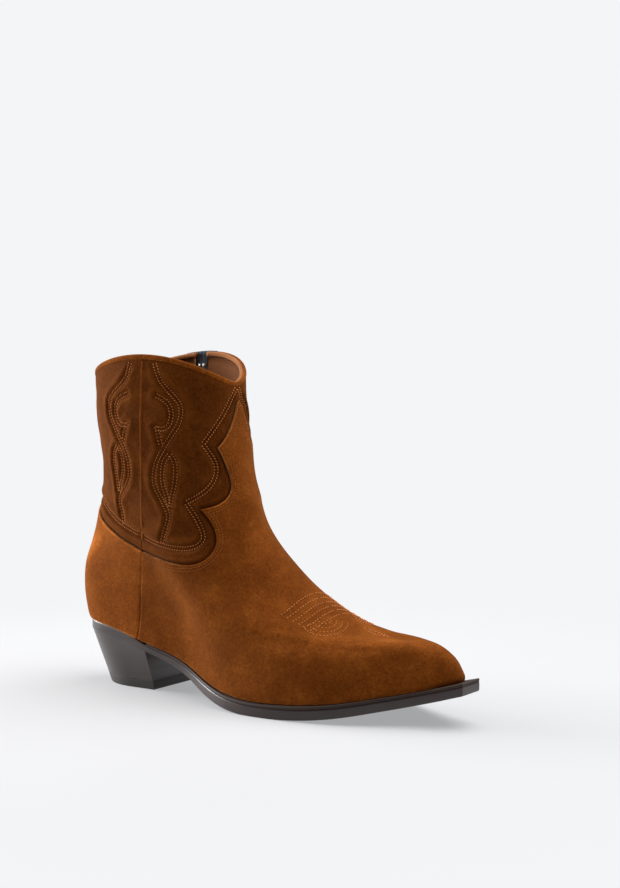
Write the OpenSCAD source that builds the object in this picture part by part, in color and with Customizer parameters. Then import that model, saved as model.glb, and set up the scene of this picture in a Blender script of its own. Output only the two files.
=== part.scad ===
// Western ankle boot for the right foot, with a zip on the inner side.
// Millimetres. +X is the toe, +Y the inner side of the foot, +Z up.
// The origin is the middle of the top lift, on the floor.

/* [Length and height] */
// Front end of the upper, measured from the heel centre
toe_x = 235; // [228:1:242]
// Rear end of the upper where it meets the sole
heel_x = -37.5; // [-39:0.5:-36]
// Height of the shaft's top edge at the front and at the rear
shaft_z = 199; // [185:1:210]
// Height of the rounded peaks at the sides above that
side_peak = 17.5; // [8:0.5:22]

/* [Widths] */
// Half width of the foot line at the ball, outer side
ball_out = 44; // [41:0.5:46]
// Half width of the foot line at the ball, inner side
ball_in = 39; // [37:0.5:42]
// Half width of the shaft at its top, outer side
shaft_out = 37.5; // [34:0.5:41]
// Amount the sole stands out round the forefoot, inner side and toe
sole_edge = 3.3; // [2:0.1:5]
// Amount more it stands out on the outer side
sole_extra = 1.2; // [0:0.1:2]
// Width of the square tip of the sole
tip_w = 19.5; // [14:0.5:26]
// Length of the sole tip, from the heel centre
tip_x = 243; // [242:0.5:246]

/* [Sole and heel] */
// Full thickness of the sole at the ball
sole_t = 8.5; // [7:0.1:9]
// Thickness of the sole over the heel
seat_t = 5.6; // [4:0.1:7]
// Thickness of the welt
welt_t = 2; // [1.2:0.1:2.4]
// Front face of the heel at the floor
breast_x = 24.5; // [20:0.5:28]
// Rear end of the heel at the floor
heel_rear_x = -27; // [-32:0.5:-22]
// Half width of the heel at the floor
heel_half_w = 25; // [20:0.5:28]
// Thickness of the top lift
lift_t = 6; // [4:0.5:9]

/* [Upper] */
// Thickness of the suede on the vamp and counter cover
vamp_t = 1.5; // [1:0.1:2]
// Thickness of the suede on the shaft
shaft_t = 1.2; // [0.8:0.1:1.2]
// Thickness of the linings
lining_t = 1; // [0.6:0.1:1.2]

/* [Zip] */
// Position of the zip along the foot
zip_x = 18.5; // [17.5:0.5:22]
// Half width of the open slot over the zip
slot_w = 4; // [4:0.1:5]
// Length of the row of teeth
zip_len = 144; // [120:2:144]
// Spacing of the teeth
pitch = 3; // [2.5:0.5:4]
// Length of the puller
pull_l = 15; // [10:0.5:16]

/* [Hidden] */
$fn = 32;

function clamp(v, a = 0, b = 1) = min(max(v, a), b);
function smooth(v) = let (c = clamp(v)) c * c * (3 - 2 * c);
function mix(a, b, f) = a + (b - a) * f;
// smooth curve through the rows [x, y] of a table
function slope(T, i) = let (n = len(T) - 1, a = max(i - 1, 0), b = min(i + 1, n))
  (T[b][1] - T[a][1]) / (T[b][0] - T[a][0]);
function seg(T, x, i = 0) = (i >= len(T) - 2 || x < T[i + 1][0]) ? i : seg(T, x, i + 1);
function curve(T, x) = let (i = seg(T, x), h = T[i + 1][0] - T[i][0],
  f = clamp((x - T[i][0]) / h), g = 1 - f)
  T[i][1] * (1 + 2 * f) * g * g + slope(T, i) * h * f * g * g
  + T[i + 1][1] * f * f * (3 - 2 * f) - slope(T, i + 1) * h * f * f * g;

// width of the foot line against an ellipse, from the heel (0) to the toe (1)
plan_out = [[0, 1.45], [.1, 1.03], [.2, .86], [.35, .76], [.5, 1], [.6, 1.06],
  [.7, 1.055], [.8, .98], [.9, .8], [1, .72]];
plan_in = [[0, 1.45], [.1, 1.05], [.2, .86], [.35, .68], [.5, .8], [.6, .95],
  [.7, 1.06], [.8, 1.06], [.9, .9], [1, .78]];
// underside of the upper along the foot: raised heel, waist, ball, toe spring
last_z = [[-42, 41.4], [-10, 38.7], [20, 32.2], [50, 24.9], [80, 14], [110, sole_t],
  [140, sole_t], [170, 11.2], [200, 16.9], [225, 22.5], [246, 28.2]];
// closed rings from the foot line (first row) up to the top edge (last row):
// front x and z, rear x and z, half width out and in, roundness, follow, peak
rings = [
  [toe_x, 25.2, heel_x, 41.1, ball_out, ball_in, 0, 1, 0],
  [toe_x + .2, 29.2, heel_x - 3.2, 46, ball_out - .5, ball_in + 2, 0, 1, 0],
  [toe_x - 5.6, 41.2, heel_x - 5.9, 60, ball_out - 1.5, ball_in + 2.5, 0, .8, 0],
  [toe_x - 23, 51, heel_x - 5.8, 76, ball_out - 2.5, ball_in + 1.5, .2, .6, 0],
  [toe_x - 60, 54.2, heel_x - .4, 92, ball_out - 4.5, 39, .4, .4, 0],
  [127.5, 75, -32.9, 108, 37.5, 37, .6, .2, 0],
  [94.4, 102, -29.6, 124, 36, 35.5, .8, 0, 0],
  [82.2, 133, -29.2, 146, 36.5, 36.5, 1, 0, 2],
  [76.6, 164, -33, 171, shaft_out + .5, 38, 1, 0, side_peak * .6],
  [73.4, shaft_z, -34.6, shaft_z, shaft_out, 37, 1, 0, side_peak]];
function ring_at(t) = let (n = len(rings) - 1, k = clamp(t) * n, i = min(floor(k), n - 1),
  f = k - i, g = 1 - f, m0 = i == 0 ? rings[1] - rings[0] : (rings[i + 1] - rings[i - 1]) / 2,
  m1 = i == n - 1 ? rings[n] - rings[n - 1] : (rings[i + 2] - rings[i]) / 2)
  rings[i] * (1 + 2 * f) * g * g + m0 * f * g * g
  + rings[i + 1] * f * f * (3 - 2 * f) - m1 * f * f * g;
function rise(x) = curve(last_z, x)
  - mix(rings[0][3], rings[0][1], clamp((x - heel_x) / (toe_x - heel_x)));
function peak_shape(c) = pow(1 - c * c, .75) * (1 + .25 * c);
// the zip needs a straight wall: half width inside at the zip, against height
zip_z0 = 60;
zip_y0 = 28.6;
zip_slope = .0635;
function zip_y(z) = zip_y0 + zip_slope * (z - zip_z0);
function zip_wide(R) = let (u = (zip_x - R[2]) / (R[0] - R[2]), c = 2 * u - 1,
  z = mix(R[3], R[1], u) + R[7] * rise(zip_x) + R[8] * peak_shape(c))
  zip_y(z) / (sqrt(1 - c * c) * mix(curve(plan_in, u), 1, R[6]));
RN = 160;
RT = [for (k = [0 : RN]) let (R = ring_at(k / RN), g = smooth((k / RN - .12) / .18))
  [for (i = [0 : 8]) i == 5 ? mix(R[5], zip_wide(R), g) : R[i]]];
function ring(t) = let (k = clamp(t) * RN, i = min(floor(k), RN - 1)) mix(RT[i], RT[i + 1], k - i);
function lean(x) = 2.6 * pow(clamp((x - 150) / 85, 0, 1.3), 2);
// point of the base surface: s goes round (0 front, + inner side, - outer
// side, 0.5 rear) and t goes up (0 foot line, 1 top edge)
function wrap(s) = s > .5 ? s - 1 : (s < -.5 ? s + 1 : s);
function base(s0, t) = let (s = wrap(s0), R = ring(t), c = cos(360 * s), u = (1 + c) / 2,
  x = mix(R[2], R[0], u), w = s < 0 ? R[4] : R[5],
  h = mix(curve(s < 0 ? plan_out : plan_in, u), 1, R[6]))
  [x, lean(x) * (1 - R[6]) + sin(360 * s) * w * h,
   mix(R[3], R[1], u) + R[7] * rise(x) + R[8] * peak_shape(c)];
function unit(v) = v / norm(v);
function facing(s, t) = let (e = .002, a = clamp(t - e), b = clamp(t + e),
  n = unit(cross(base(s + e, t) - base(s - e, t), base(s, b) - base(s, a))))
  unit([n[0], n[1], n[2] * smooth(t / .12)]);
// the same point moved d outward
function skin(s, t, d) = base(s, t) + facing(s, t) * d;
// how far round the point at x lies
function round_at(x, t) = let (R = ring(t)) acos(clamp(2 * (x - R[2]) / (R[0] - R[2]) - 1, -1, 1)) / 360;
function seam_x(t) = 16.5 + 11.5 * t;
function slot(t) = mix(.2, slot_w, smooth((t - .19) / .05));
function s_out(t, dx) = round_at(seam_x(t) + dx, t);
function s_in(t, side, w) = round_at(zip_x + side * w, t);

// faces of a closed shell over a grid of m rows by n columns, outer points
// first, then the inner ones
function shell_faces(m, n) = let (k = m * n, h = (n - 1) / 2) concat(
  [for (i = [0 : m - 2], j = [0 : n - 2]) let (a = i * n + j) each (j < h
    ? [[a, a + n, a + 1], [a + 1, a + n, a + n + 1]] : [[a, a + n, a + n + 1], [a, a + n + 1, a + 1]])],
  [for (i = [0 : m - 2], j = [0 : n - 2]) let (a = i * n + j + k) each (j < h
    ? [[a, a + 1, a + n], [a + 1, a + n + 1, a + n]] : [[a, a + n + 1, a + n], [a, a + 1, a + n + 1]])],
  [for (j = [0 : n - 2]) each [[j, j + 1, k + j + 1], [j, k + j + 1, k + j]]],
  [for (j = [0 : n - 2]) let (a = (m - 1) * n + j) each [[a, k + a + 1, a + 1], [a, k + a, k + a + 1]]],
  [for (i = [0 : m - 2]) let (a = i * n) each [[a, k + a + n, a + n], [a, k + a, k + a + n]]],
  [for (i = [0 : m - 2]) let (a = i * n + n - 1) each [[a, a + n, k + a + n], [a, k + a + n, k + a]]]);
// grid of [s, t] pairs made into a shell between two distances from the base
module shell(G, d_out, d_in) {
  m = len(G);
  n = len(G[0]);
  P = concat([for (r = G, g = r) skin(g[0], g[1], d_out)],
    [for (r = G, g = r) skin(g[0], g[1], d_in)]);
  polyhedron(P, shell_faces(m, n), convexity = 8);
}
// closed strip with the cross section points Q[i][j] at each step i
module strip(Q) {
  m = len(Q);
  n = len(Q[0]);
  P = [for (r = Q, q = r) q];
  F = concat(
    [for (i = [0 : m - 2], j = [0 : n - 1]) let (a = i * n + j, b = i * n + (j + 1) % n)
      each [[a, b, b + n], [a, b + n, a + n]]],
    [for (j = [1 : n - 2]) [0, j + 1, j]],
    [for (j = [1 : n - 2]) let (o = (m - 1) * n) [o, o + j, o + j + 1]]);
  polyhedron(P, F, convexity = 8);
}

// distances of the layers from the base surface
cover_o = vamp_t;
cover_i = 0;
mid_o = -.3;
mid_i = -.3 - shaft_t;
tape_o = -1.7;
tape_i = -2.4;
stiff_o = -.9;
stiff_i = -2.1;
lin_o = -2.7;
lin_i = -2.7 - lining_t;
foot_t = .008;
// heights of the top edges: bead, suede panels and linings
top_t = .986;
panel_top = .984;
lining_top = .98;

// scalloped edge of the vamp, from the side seam to the point in front
function bez(P, f) = P[0] * (1 - f) * (1 - f) + P[1] * 2 * f * (1 - f) + P[2] * f * f;
cross_t = .522;
tongue_t = .952;
scallops = [
  [[.305, cross_t], [.225, .53], [.158, .612]],
  [[.158, .612], [.105, .67], [.14, .716]],
  [[.14, .716], [.05, .745], [.057, .796]],
  [[.057, .796], [.062, .83], [.078, .853]],
  [[.078, .853], [.045, .88], [.008, tongue_t]]];
seam_rows = 7;
bez_rows = 5;
vamp_rows = seam_rows + 5 * bez_rows;
// edge point k of the vamp; the inner side ends at the zip instead of the seam
function edge_s0(t, side) = side < 0 ? s_out(t, .2) : s_in(t, 1, slot(t));
function vamp_edge(k, side) = k < seam_rows
  ? let (t = mix(foot_t, cross_t, k / seam_rows)) [edge_s0(t, side), t]
  : let (j = min(floor((k - seam_rows) / bez_rows), 4), f = (k - seam_rows) / bez_rows - j,
      e = bez(scallops[j], f), fix = edge_s0(cross_t, side) - .305)
    [e[0] + fix * smooth((e[0] - .158) / .147), e[1]];
function vamp_point(k, p) = let (side = p < 0 ? -1 : 1, a = abs(p),
  e = vamp_edge(k, side), c = mix(foot_t, tongue_t + .008, k / vamp_rows))
  [side * e[0] * a, mix(c, e[1], a)];

// heights that depend on x alone, straight between shared stations
knots = [for (x = [-42 : 6 : 246]) x];
function rim(x) = welt_t * clamp((x - 12) / 18);
function thick(x) = mix(seat_t, sole_t, smooth((x - 25) / 65)) - .7 * clamp((x - 160) / 80);
tab_f = [for (x = knots) [x, curve(last_z, x)]];
tab_o = [for (x = knots) [x, curve(last_z, x) - rim(x)]];
tab_b = [for (x = knots) [x, curve(last_z, x) - thick(x)]];
function zf(x) = lookup(x, tab_f);
function zo(x) = lookup(x, tab_o);
function zb(x) = lookup(x, tab_b);
// edge of the foot line at x, moved out by m; side is -1 out, 1 in
function foot_y(x, side, m, mr) = let (r = heel_x - mr, f = toe_x + m,
  u = clamp((x - r) / (f - r), .0001, .9999), w = side < 0 ? ball_out : ball_in,
  g = mix(mr, m + (side < 0 && m > 0 ? sole_extra : 0), smooth((x - 10) / 80)))
  lean(x) + side * (w + g) * 2 * sqrt(u * (1 - u)) * curve(side < 0 ? plan_out : plan_in, u);
// from tip_0 forward the sole runs on smoothly to its square tip
tip_c = 1.75;
tip_0 = 210;
function sole_y(x, side) = x <= tip_0 ? foot_y(x, side, sole_edge, 1)
  : let (f = (x - tip_0) / (tip_x - tip_0), g = 1 - f, y0 = foot_y(tip_0, side, sole_edge, 1),
      m = (y0 - foot_y(tip_0 - 4, side, sole_edge, 1)) / 4 * (tip_x - tip_0))
    y0 * (1 + 2 * f) * g * g + m * f * g * g + (tip_c + side * tip_w / 2) * f * f * (3 - 2 * f)
    + side * .3 * (tip_x - tip_0) * f * f * g;
function stations(a, b) = concat([a + .3, a + 1.2, a + 3],
  [for (x = knots) if (x > a + 4.5 && x < b - 1) x], [b]);
// solid made of four sided sections, each [low out, low in, top in, top out]
module slab(Q) {
  n = len(Q);
  P = [for (q = Q) each q];
  F = concat([[0, 1, 2], [0, 2, 3]],
    [for (i = [0 : n - 2], j = [0 : 3]) let (a = 4 * i + j, b = 4 * i + (j + 1) % 4)
      each [[a, b + 4, b], [a, a + 4, b + 4]]],
    let (o = 4 * (n - 1)) [[o, o + 2, o + 1], [o, o + 3, o + 2]]);
  polyhedron(P, F, convexity = 6);
}
function section(x, ya, yb, low, top) = [[x, ya, low], [x, yb, low], [x, yb, top], [x, ya, top]];

// ---- sole and heel ----
module outsole() color("#2b2221")
  slab([for (x = stations(heel_x - 1, tip_x)) section(x, sole_y(x, -1), sole_y(x, 1), zb(x), zo(x))]);

// welt: a band round the forefoot, from the heel breast on both sides
welt_in = -6;
welt_x = [for (x = [24 : 6 : 228]) x];
// clearance under the upper, a little more where the toe turns up
function welt_gap(x) = .02 + .15 * clamp((x - 195) / 12);
function band(x, side) = let (xi = x <= 210 ? x : 210 + (x - 210) * .45,
  q = x <= 210 ? 1 : sqrt(max(1 - pow((x - 210) / 21, 2), .04)),
  yi = x <= 210 ? foot_y(x, side, welt_in, welt_in)
    : lean(xi) + (foot_y(210, side, welt_in, welt_in) - lean(210)) * q,
  yo = sole_y(x, side), d = welt_gap(x))
  [[x, yo, zo(x) + .02], [xi, yi, zo(xi) + .02], [xi, yi, zf(xi) - d], [x, yo, zf(x) - d]];
module welt() color("#3a2c26")
  strip(concat([for (x = welt_x) band(x, -1)],
    [for (c = [-1, 1]) let (y = tip_c + c * tip_w / 2)
      [[tip_x, y, zo(tip_x) + .02], [220.5, tip_c + c * .8, zo(220.5) + .02],
       [220.5, tip_c + c * .8, zf(220.5) - .17], [tip_x, y, zf(tip_x) - .17]]],
    [for (i = [len(welt_x) - 1 : -1 : 0]) band(welt_x[i], 1)]));

function heel_w(v) = heel_half_w * sqrt(1 - pow(1 - min(v / .62, 1), 2.2));
module heel_block() color("#2b2221")
  slab([for (x = stations(heel_x - 1, 23.4))
    let (v = (x - heel_x + 1) / (24.4 - heel_x), b = mix(heel_rear_x, breast_x, v))
    [[b, -heel_w(v), lift_t], [b, heel_w(v), lift_t],
     [x, sole_y(x, 1) - .3, zb(x)], [x, sole_y(x, -1) + .3, zb(x)]]]);
module top_lift() color("#1c1817")
  linear_extrude(lift_t)
    let (V = [for (x = stations(heel_x - 1, 23.4)) (x - heel_x + 1) / (24.4 - heel_x)], n = len(V))
      polygon(concat([for (v = V) [mix(heel_rear_x, breast_x, v), -heel_w(v)]],
        [for (i = [n - 1 : -1 : 0]) [mix(heel_rear_x, breast_x, V[i]), heel_w(V[i])]]));
module shank() color("#8c8f94")
  slab([for (x = concat([31], [for (k = knots) if (k > 32 && k < 91) k], [92]))
    section(x, -7, 7, zo(x) + .05, zf(x) - .05)]);
module bottom_filler() color("#9a7a55")
  slab([for (x = concat([94], [for (k = knots) if (k > 95 && k < 211) k]))
    section(x, foot_y(x, -1, welt_in - .4, welt_in), foot_y(x, 1, welt_in - .4, welt_in),
      zo(x), zf(x))]);
board_t = 2.2;
module insole_board() color("#c9b28c")
  slab([for (x = stations(heel_x + 6, toe_x - 6.3))
    section(x, foot_y(x, -1, -6, -5.8), foot_y(x, 1, -6, -5.8), zf(x), zf(x) + board_t)]);
tab_s = [for (x = knots) [x, curve(last_z, x) + board_t + mix(3, 1.4, smooth((x - 10) / 50))]];
module sock_lining() color("#a8743f")
  slab([for (x = stations(heel_x + 6.4, toe_x - 6.7))
    section(x, foot_y(x, -1, -6.4, -6.2), foot_y(x, 1, -6.4, -6.2), zf(x) + board_t, lookup(x, tab_s))]);

// ---- covers ----
module vamp() color("#86501f")
  shell([for (k = [0 : vamp_rows]) [for (i = [-16 : 16]) vamp_point(k, sign(i) * pow(abs(i) / 16, 1.15))]],
    cover_o, cover_i);
// pieces behind the two side seams: a is 0 at the outer seam, 1 at the inner
function behind(a, t, w) = let (so = s_out(t, -.2), si = s_in(t, -1, w)) -(so + a * (1 - si - so));
function counter_top(a) = let (v = 1 - abs(2 * a - 1)) cross_t + .036 * v + .082 * v * v;
module counter_cover() color("#86501f")
  shell([for (j = [0 : 14]) [for (i = [0 : 26]) let (a = i / 26, t = mix(foot_t, counter_top(a), j / 14))
    [behind(a, t, slot(t)), t]]], cover_o, cover_i);
// pieces in front of the side seams: p is -1 at the outer seam, 1 at the inner
function ahead(p, t, w) = p < 0 ? p * s_out(t, .2) : p * s_in(t, 1, w);
function under_vamp(p) = .80 - .305 * sin(90 * abs(p));
module shaft_front() color("#7d491b")
  shell([for (j = [0 : 15]) [for (i = [-14 : 14]) let (t = mix(under_vamp(i / 14), panel_top, j / 15))
    [ahead(i / 14, t, slot_w), t]]], mid_o, mid_i);
module shaft_back() color("#7d491b")
  shell([for (j = [0 : 14]) [for (i = [0 : 26])
    let (a = i / 26, t = mix(counter_top(a) - .03, panel_top, j / 14))
    [behind(a, t, slot_w), t]]], mid_o, mid_i);
// raised piping over a seam: half width w, height h above distance d
function piping(t, w, h, d) = let (a = -s_out(t, -w), b = -s_out(t, w), m = -s_out(t, 0))
  [skin(a, t, d), skin(mix(a, m, .4), t, d + h * .8), skin(m, t, d + h),
   skin(mix(b, m, .4), t, d + h * .8), skin(b, t, d)];
module shaft_seam_piping() color("#6f4018")
  strip([for (i = [24 : -1 : 0]) piping(mix(cross_t + .012, panel_top, i / 24), 1.4, .9, mid_o + .12)]);
module quarter_seam_piping() color("#6f4018")
  strip([for (i = [18 : -1 : 0]) piping(mix(.02, cross_t + .004, i / 18), 1.2, .6, cover_o + .15)]);
// bead along the top edge, open at the zip
bead = [[.1, -.1], [.45, .9], [.1, 2.2], [-1, 3.1], [-2.7, 3.1], [-3.7, 2.2], [-4.1, .9], [-3.8, -.1]];
module topline_binding() color("#7a4619")
  strip([for (i = [64 : -1 : 0])
    let (a = s_in(1, 1, slot_w + .4), b = s_in(1, -1, slot_w + .4),
      s = a - i / 64 * (1 - b + a), n = facing(wrap(s), .97),
      p = base(wrap(s), top_t), u = unit([n[0], n[1], 0]))
    [for (q = bead) p + u * q[0] + [0, 0, q[1] + .15]]]);

// ---- stiffeners and linings ----
module toe_puff() color("#d8cdb8")
  shell([for (j = [0 : 7]) [for (i = [-12 : 12])
    let (p = i / 12) [p * .17, mix(.012, .40 - .13 * p * p, j / 7)]]], stiff_o, stiff_i);
module heel_counter() color("#d8cdb8")
  shell([for (j = [0 : 8]) [for (i = [0 : 16])
    let (a = i / 16) [-(.37 + .26 * a), mix(.012, .45 - .14 * pow(2 * a - 1, 2), j / 8)]]],
    stiff_o, stiff_i);
low_lining_t = .476;
function lining_gap(t) = mix(.3, slot_w + 1.6, smooth((t - .17) / .05));
module vamp_lining() color("#b58a58")
  shell([for (j = [0 : 10]) [for (i = [-14 : 14])
    let (t = mix(.01, low_lining_t, j / 10), p = sign(i) * pow(abs(i) / 14, 1.2))
    [ahead(p, t, lining_gap(t)), t]]], lin_o, lin_i);
module heel_lining() color("#b58a58")
  shell([for (j = [0 : 10]) [for (i = [0 : 22])
    let (t = mix(.01, low_lining_t, j / 10)) [behind(i / 22, t, lining_gap(t)), t]]], lin_o, lin_i);
module shaft_lining_front() color("#8a5a30")
  shell([for (j = [0 : 10]) [for (i = [-12 : 12])
    let (t = mix(low_lining_t + .008, lining_top, j / 10))
    [ahead(i / 12, t, slot_w + 1.6), t]]], lin_o, lin_i);
module shaft_lining_back() color("#8a5a30")
  shell([for (j = [0 : 10]) [for (i = [0 : 20])
    let (t = mix(low_lining_t + .008, lining_top, j / 10))
    [behind(i / 20, t, slot_w + 1.6), t]]], lin_o, lin_i);
module heel_grip() color("#9a6c3e")
  shell([for (j = [0 : 6]) [for (i = [0 : 8])
    let (a = i / 8, w = 1 - .25 * pow(j / 6, 2)) [-(.5 + .09 * (2 * a - 1) * w), mix(.2, .62, j / 6)]]],
    lin_i - .35, lin_i - 1.1);

// ---- zip: x across, y outward and z up the line of the teeth ----
module at_zip(z = 0) translate([zip_x, zip_y0, zip_z0]) rotate([-atan(zip_slope), 0, 0])
  translate([0, 0, z]) children();
tape_lo = .235;
tape_hi = .978;
module tape(side) color("#3c4350")
  shell([for (j = [0 : 22]) [for (i = [0 : 3])
    let (t = mix(tape_lo, tape_hi, j / 22), k = side > 0 ? 3 - i : i)
    [s_in(t, side, mix(3.8, 12.6, k / 3)), t]]], tape_o, tape_i);
module zip_tape_front() tape(1);
module zip_tape_back() tape(-1);
module teeth(side) color("#b9bcc1") at_zip()
  union() {
    for (i = [0 : floor(zip_len / pitch) - 1])
      translate([side > 0 ? .6 : -2.7, -3.1, i * pitch + (side > 0 ? 0 : pitch * .44)])
        cube([2.1, 2.1, pitch * .56]);
    translate([side > 0 ? 1.95 : -2.75, -2.5, 0]) cube([.8, .9, zip_len]);
  }
module zip_teeth_front() teeth(1);
module zip_teeth_back() teeth(-1);
module zip_bottom_stop() color("#b9bcc1") at_zip(-5) translate([-2.7, -3.2, 0]) cube([5.4, 2.3, 3.4]);
module top_stop(side) color("#b9bcc1") at_zip(zip_len + .8)
  translate([side > 0 ? .7 : -2.7, -3.1, 0]) cube([2, 2.1, 2.2]);
module zip_top_stop_front() top_stop(1);
module zip_top_stop_back() top_stop(-1);
slider_z = zip_len - 8;
pin_y = 2.2;
module zip_slider() color("#c3c6ca") at_zip(slider_z)
  union() {
    translate([-3.5, -.65, -5.5]) cube([7, 1.1, 11]);
    translate([-3.5, -4.5, -5]) cube([7, 1.1, 10]);
    translate([-.35, -3.6, 2]) cube([.7, 3.2, 3]);
    for (x = [-3.5, 3]) {
      translate([x, -1.25, -4]) cube([.5, .8, 8]);
      translate([x, -3.6, -4]) cube([.5, .6, 8]);
    }
    for (x = [-2.4, 1.7]) translate([x, .3, -1.1]) cube([.7, 2.9, 2.2]);
    translate([-2.2, pin_y, 0]) rotate([0, 90, 0]) cylinder(r = .5, h = 4.4);
  }
module zip_pull() color("#c3c6ca") at_zip(slider_z)
  difference() {
    union() {
      translate([-1.5, pin_y, 0]) rotate([0, 90, 0]) cylinder(r = 1.3, h = 3);
      translate([-1.5, pin_y - .55, -4]) cube([3, 1.1, 4]);
      translate([-2.5, pin_y - .55, -pull_l]) cube([5, 1.1, pull_l - 3.4]);
    }
    translate([-3, pin_y, 0]) rotate([0, 90, 0]) cylinder(r = .65, h = 6);
    translate([0, pin_y - 2, 3 - pull_l]) rotate([-90, 0, 0]) cylinder(r = 1.3, h = 4);
  }

outsole();
welt();
heel_block();
top_lift();
shank();
bottom_filler();
insole_board();
sock_lining();
vamp();
counter_cover();
shaft_front();
shaft_back();
shaft_seam_piping();
quarter_seam_piping();
topline_binding();
toe_puff();
heel_counter();
vamp_lining();
heel_lining();
shaft_lining_front();
shaft_lining_back();
heel_grip();
zip_tape_front();
zip_tape_back();
zip_teeth_front();
zip_teeth_back();
zip_bottom_stop();
zip_top_stop_front();
zip_top_stop_back();
zip_slider();
zip_pull();
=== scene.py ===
import math

import bmesh
import bpy
import numpy as np
from mathutils import Euler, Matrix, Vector
from mathutils.bvhtree import BVHTree
from mathutils.kdtree import KDTree


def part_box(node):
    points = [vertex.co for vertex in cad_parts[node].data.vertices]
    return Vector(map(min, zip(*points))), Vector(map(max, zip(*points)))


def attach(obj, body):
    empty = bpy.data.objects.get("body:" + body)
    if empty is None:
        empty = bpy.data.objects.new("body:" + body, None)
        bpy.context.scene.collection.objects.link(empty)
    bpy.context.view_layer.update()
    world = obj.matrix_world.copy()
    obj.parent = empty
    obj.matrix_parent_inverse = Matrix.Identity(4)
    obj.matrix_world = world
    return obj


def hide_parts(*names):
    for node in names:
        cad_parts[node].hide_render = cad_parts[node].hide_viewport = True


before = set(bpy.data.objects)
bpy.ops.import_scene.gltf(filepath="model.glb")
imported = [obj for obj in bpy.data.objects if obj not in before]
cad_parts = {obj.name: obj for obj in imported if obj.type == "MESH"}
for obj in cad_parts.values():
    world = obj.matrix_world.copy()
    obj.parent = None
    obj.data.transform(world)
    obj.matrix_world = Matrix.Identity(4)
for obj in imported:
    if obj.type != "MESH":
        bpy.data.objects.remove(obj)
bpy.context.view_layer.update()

MM = 0.001

# ---- the upper's surface ------------------------------------------------------
# The same design as the CAD source, in millimetres: s goes round the boot (0 in front,
# + on the inner side, 0.5 at the rear) and t goes up (0 at the sole, 1 at the top edge).
toe_x, heel_x, shaft_z, side_peak = 235, -37.5, 199, 17.5
ball_out, ball_in, shaft_out = 44, 39, 37.5
sole_edge, sole_extra, tip_w, tip_x, tip_c = 3.3, 1.2, 19.5, 243, 1.75
sole_t, seat_t, welt_t, lift_t = 8.5, 5.6, 2, 6
breast_x, heel_rear_x, heel_half_w = 24.5, -27, 25
zip_lo, zip_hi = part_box("zip_slider")
zip_x = round((zip_lo.x + zip_hi.x) / 2 / MM, 2)
zip_z0, zip_y0, zip_slope, slot_w, zip_len, tooth_pitch = 60, 28.6, 0.0635, 4, 144, 3
cross_t, tongue_t, top_t, foot_t = 0.522, 0.952, 0.986, 0.006
seam_x, seam_slant = 16.5, 11.5

PLAN_OUT = [[0, 1.45], [.1, 1.03], [.2, .86], [.35, .76], [.5, 1], [.6, 1.06],
            [.7, 1.055], [.8, .98], [.9, .8], [1, .72]]
PLAN_IN = [[0, 1.45], [.1, 1.05], [.2, .86], [.35, .68], [.5, .8], [.6, .95],
           [.7, 1.06], [.8, 1.06], [.9, .9], [1, .78]]
LAST_Z = [[-42, 41.4], [-10, 38.7], [20, 32.2], [50, 24.9], [80, 14], [110, sole_t],
          [140, sole_t], [170, 11.2], [200, 16.9], [225, 22.5], [246, 28.2]]
# front x and z, rear x and z, half width out and in, roundness, follow, peak
RINGS = np.array([
    [toe_x, 25.2, heel_x, 41.1, ball_out, ball_in, 0, 1, 0],
    [toe_x + .2, 29.2, heel_x - 3.2, 46, ball_out - .5, ball_in + 2, 0, 1, 0],
    [toe_x - 5.6, 41.2, heel_x - 5.9, 60, ball_out - 1.5, ball_in + 2.5, 0, .8, 0],
    [toe_x - 23, 51, heel_x - 5.8, 76, ball_out - 2.5, ball_in + 1.5, .2, .6, 0],
    [toe_x - 60, 54.2, heel_x - .4, 92, ball_out - 4.5, 39, .4, .4, 0],
    [127.5, 75, -32.9, 108, 37.5, 37, .6, .2, 0],
    [94.4, 102, -29.6, 124, 36, 35.5, .8, 0, 0],
    [82.2, 133, -29.2, 146, 36.5, 36.5, 1, 0, 2],
    [76.6, 164, -33, 171, shaft_out + .5, 38, 1, 0, side_peak * .6],
    [73.4, shaft_z, -34.6, shaft_z, shaft_out, 37, 1, 0, side_peak]], float)


def smooth(v):
    c = np.clip(v, 0, 1)
    return c * c * (3 - 2 * c)


def mix(a, b, f):
    return a + (b - a) * f


def curve(table, x):
    """Smooth curve through the rows [x, y] of a table."""
    xs, ys = np.array(table, float).T
    x = np.asarray(x, float)
    m = np.gradient(ys, xs)
    m[1:-1] = (ys[2:] - ys[:-2]) / (xs[2:] - xs[:-2])
    i = np.clip(np.searchsorted(xs, x, side="right") - 1, 0, len(xs) - 2)
    h = xs[i + 1] - xs[i]
    f = np.clip((x - xs[i]) / h, 0, 1)
    g = 1 - f
    return (ys[i] * (1 + 2 * f) * g * g + m[i] * h * f * g * g
            + ys[i + 1] * f * f * (3 - 2 * f) - m[i + 1] * h * f * f * g)


def ring_at(t):
    """Smooth blend of RINGS at a height t."""
    n = len(RINGS) - 1
    k = min(max(t, 0), 1) * n
    i = min(int(k), n - 1)
    f = k - i
    g = 1 - f
    m0 = RINGS[1] - RINGS[0] if i == 0 else (RINGS[i + 1] - RINGS[i - 1]) / 2
    m1 = RINGS[n] - RINGS[n - 1] if i == n - 1 else (RINGS[i + 2] - RINGS[i]) / 2
    return (RINGS[i] * (1 + 2 * f) * g * g + m0 * f * g * g
            + RINGS[i + 1] * f * f * (3 - 2 * f) - m1 * f * f * g)


def rise(x):
    """How much higher the foot line lies at x than a straight line from heel to toe."""
    along = np.clip((x - heel_x) / (toe_x - heel_x), 0, 1)
    return curve(LAST_Z, x) - mix(RINGS[0][3], RINGS[0][1], along)


def peak_shape(c):
    return np.maximum(1 - c * c, 0) ** .75 * (1 + .25 * c)


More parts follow.
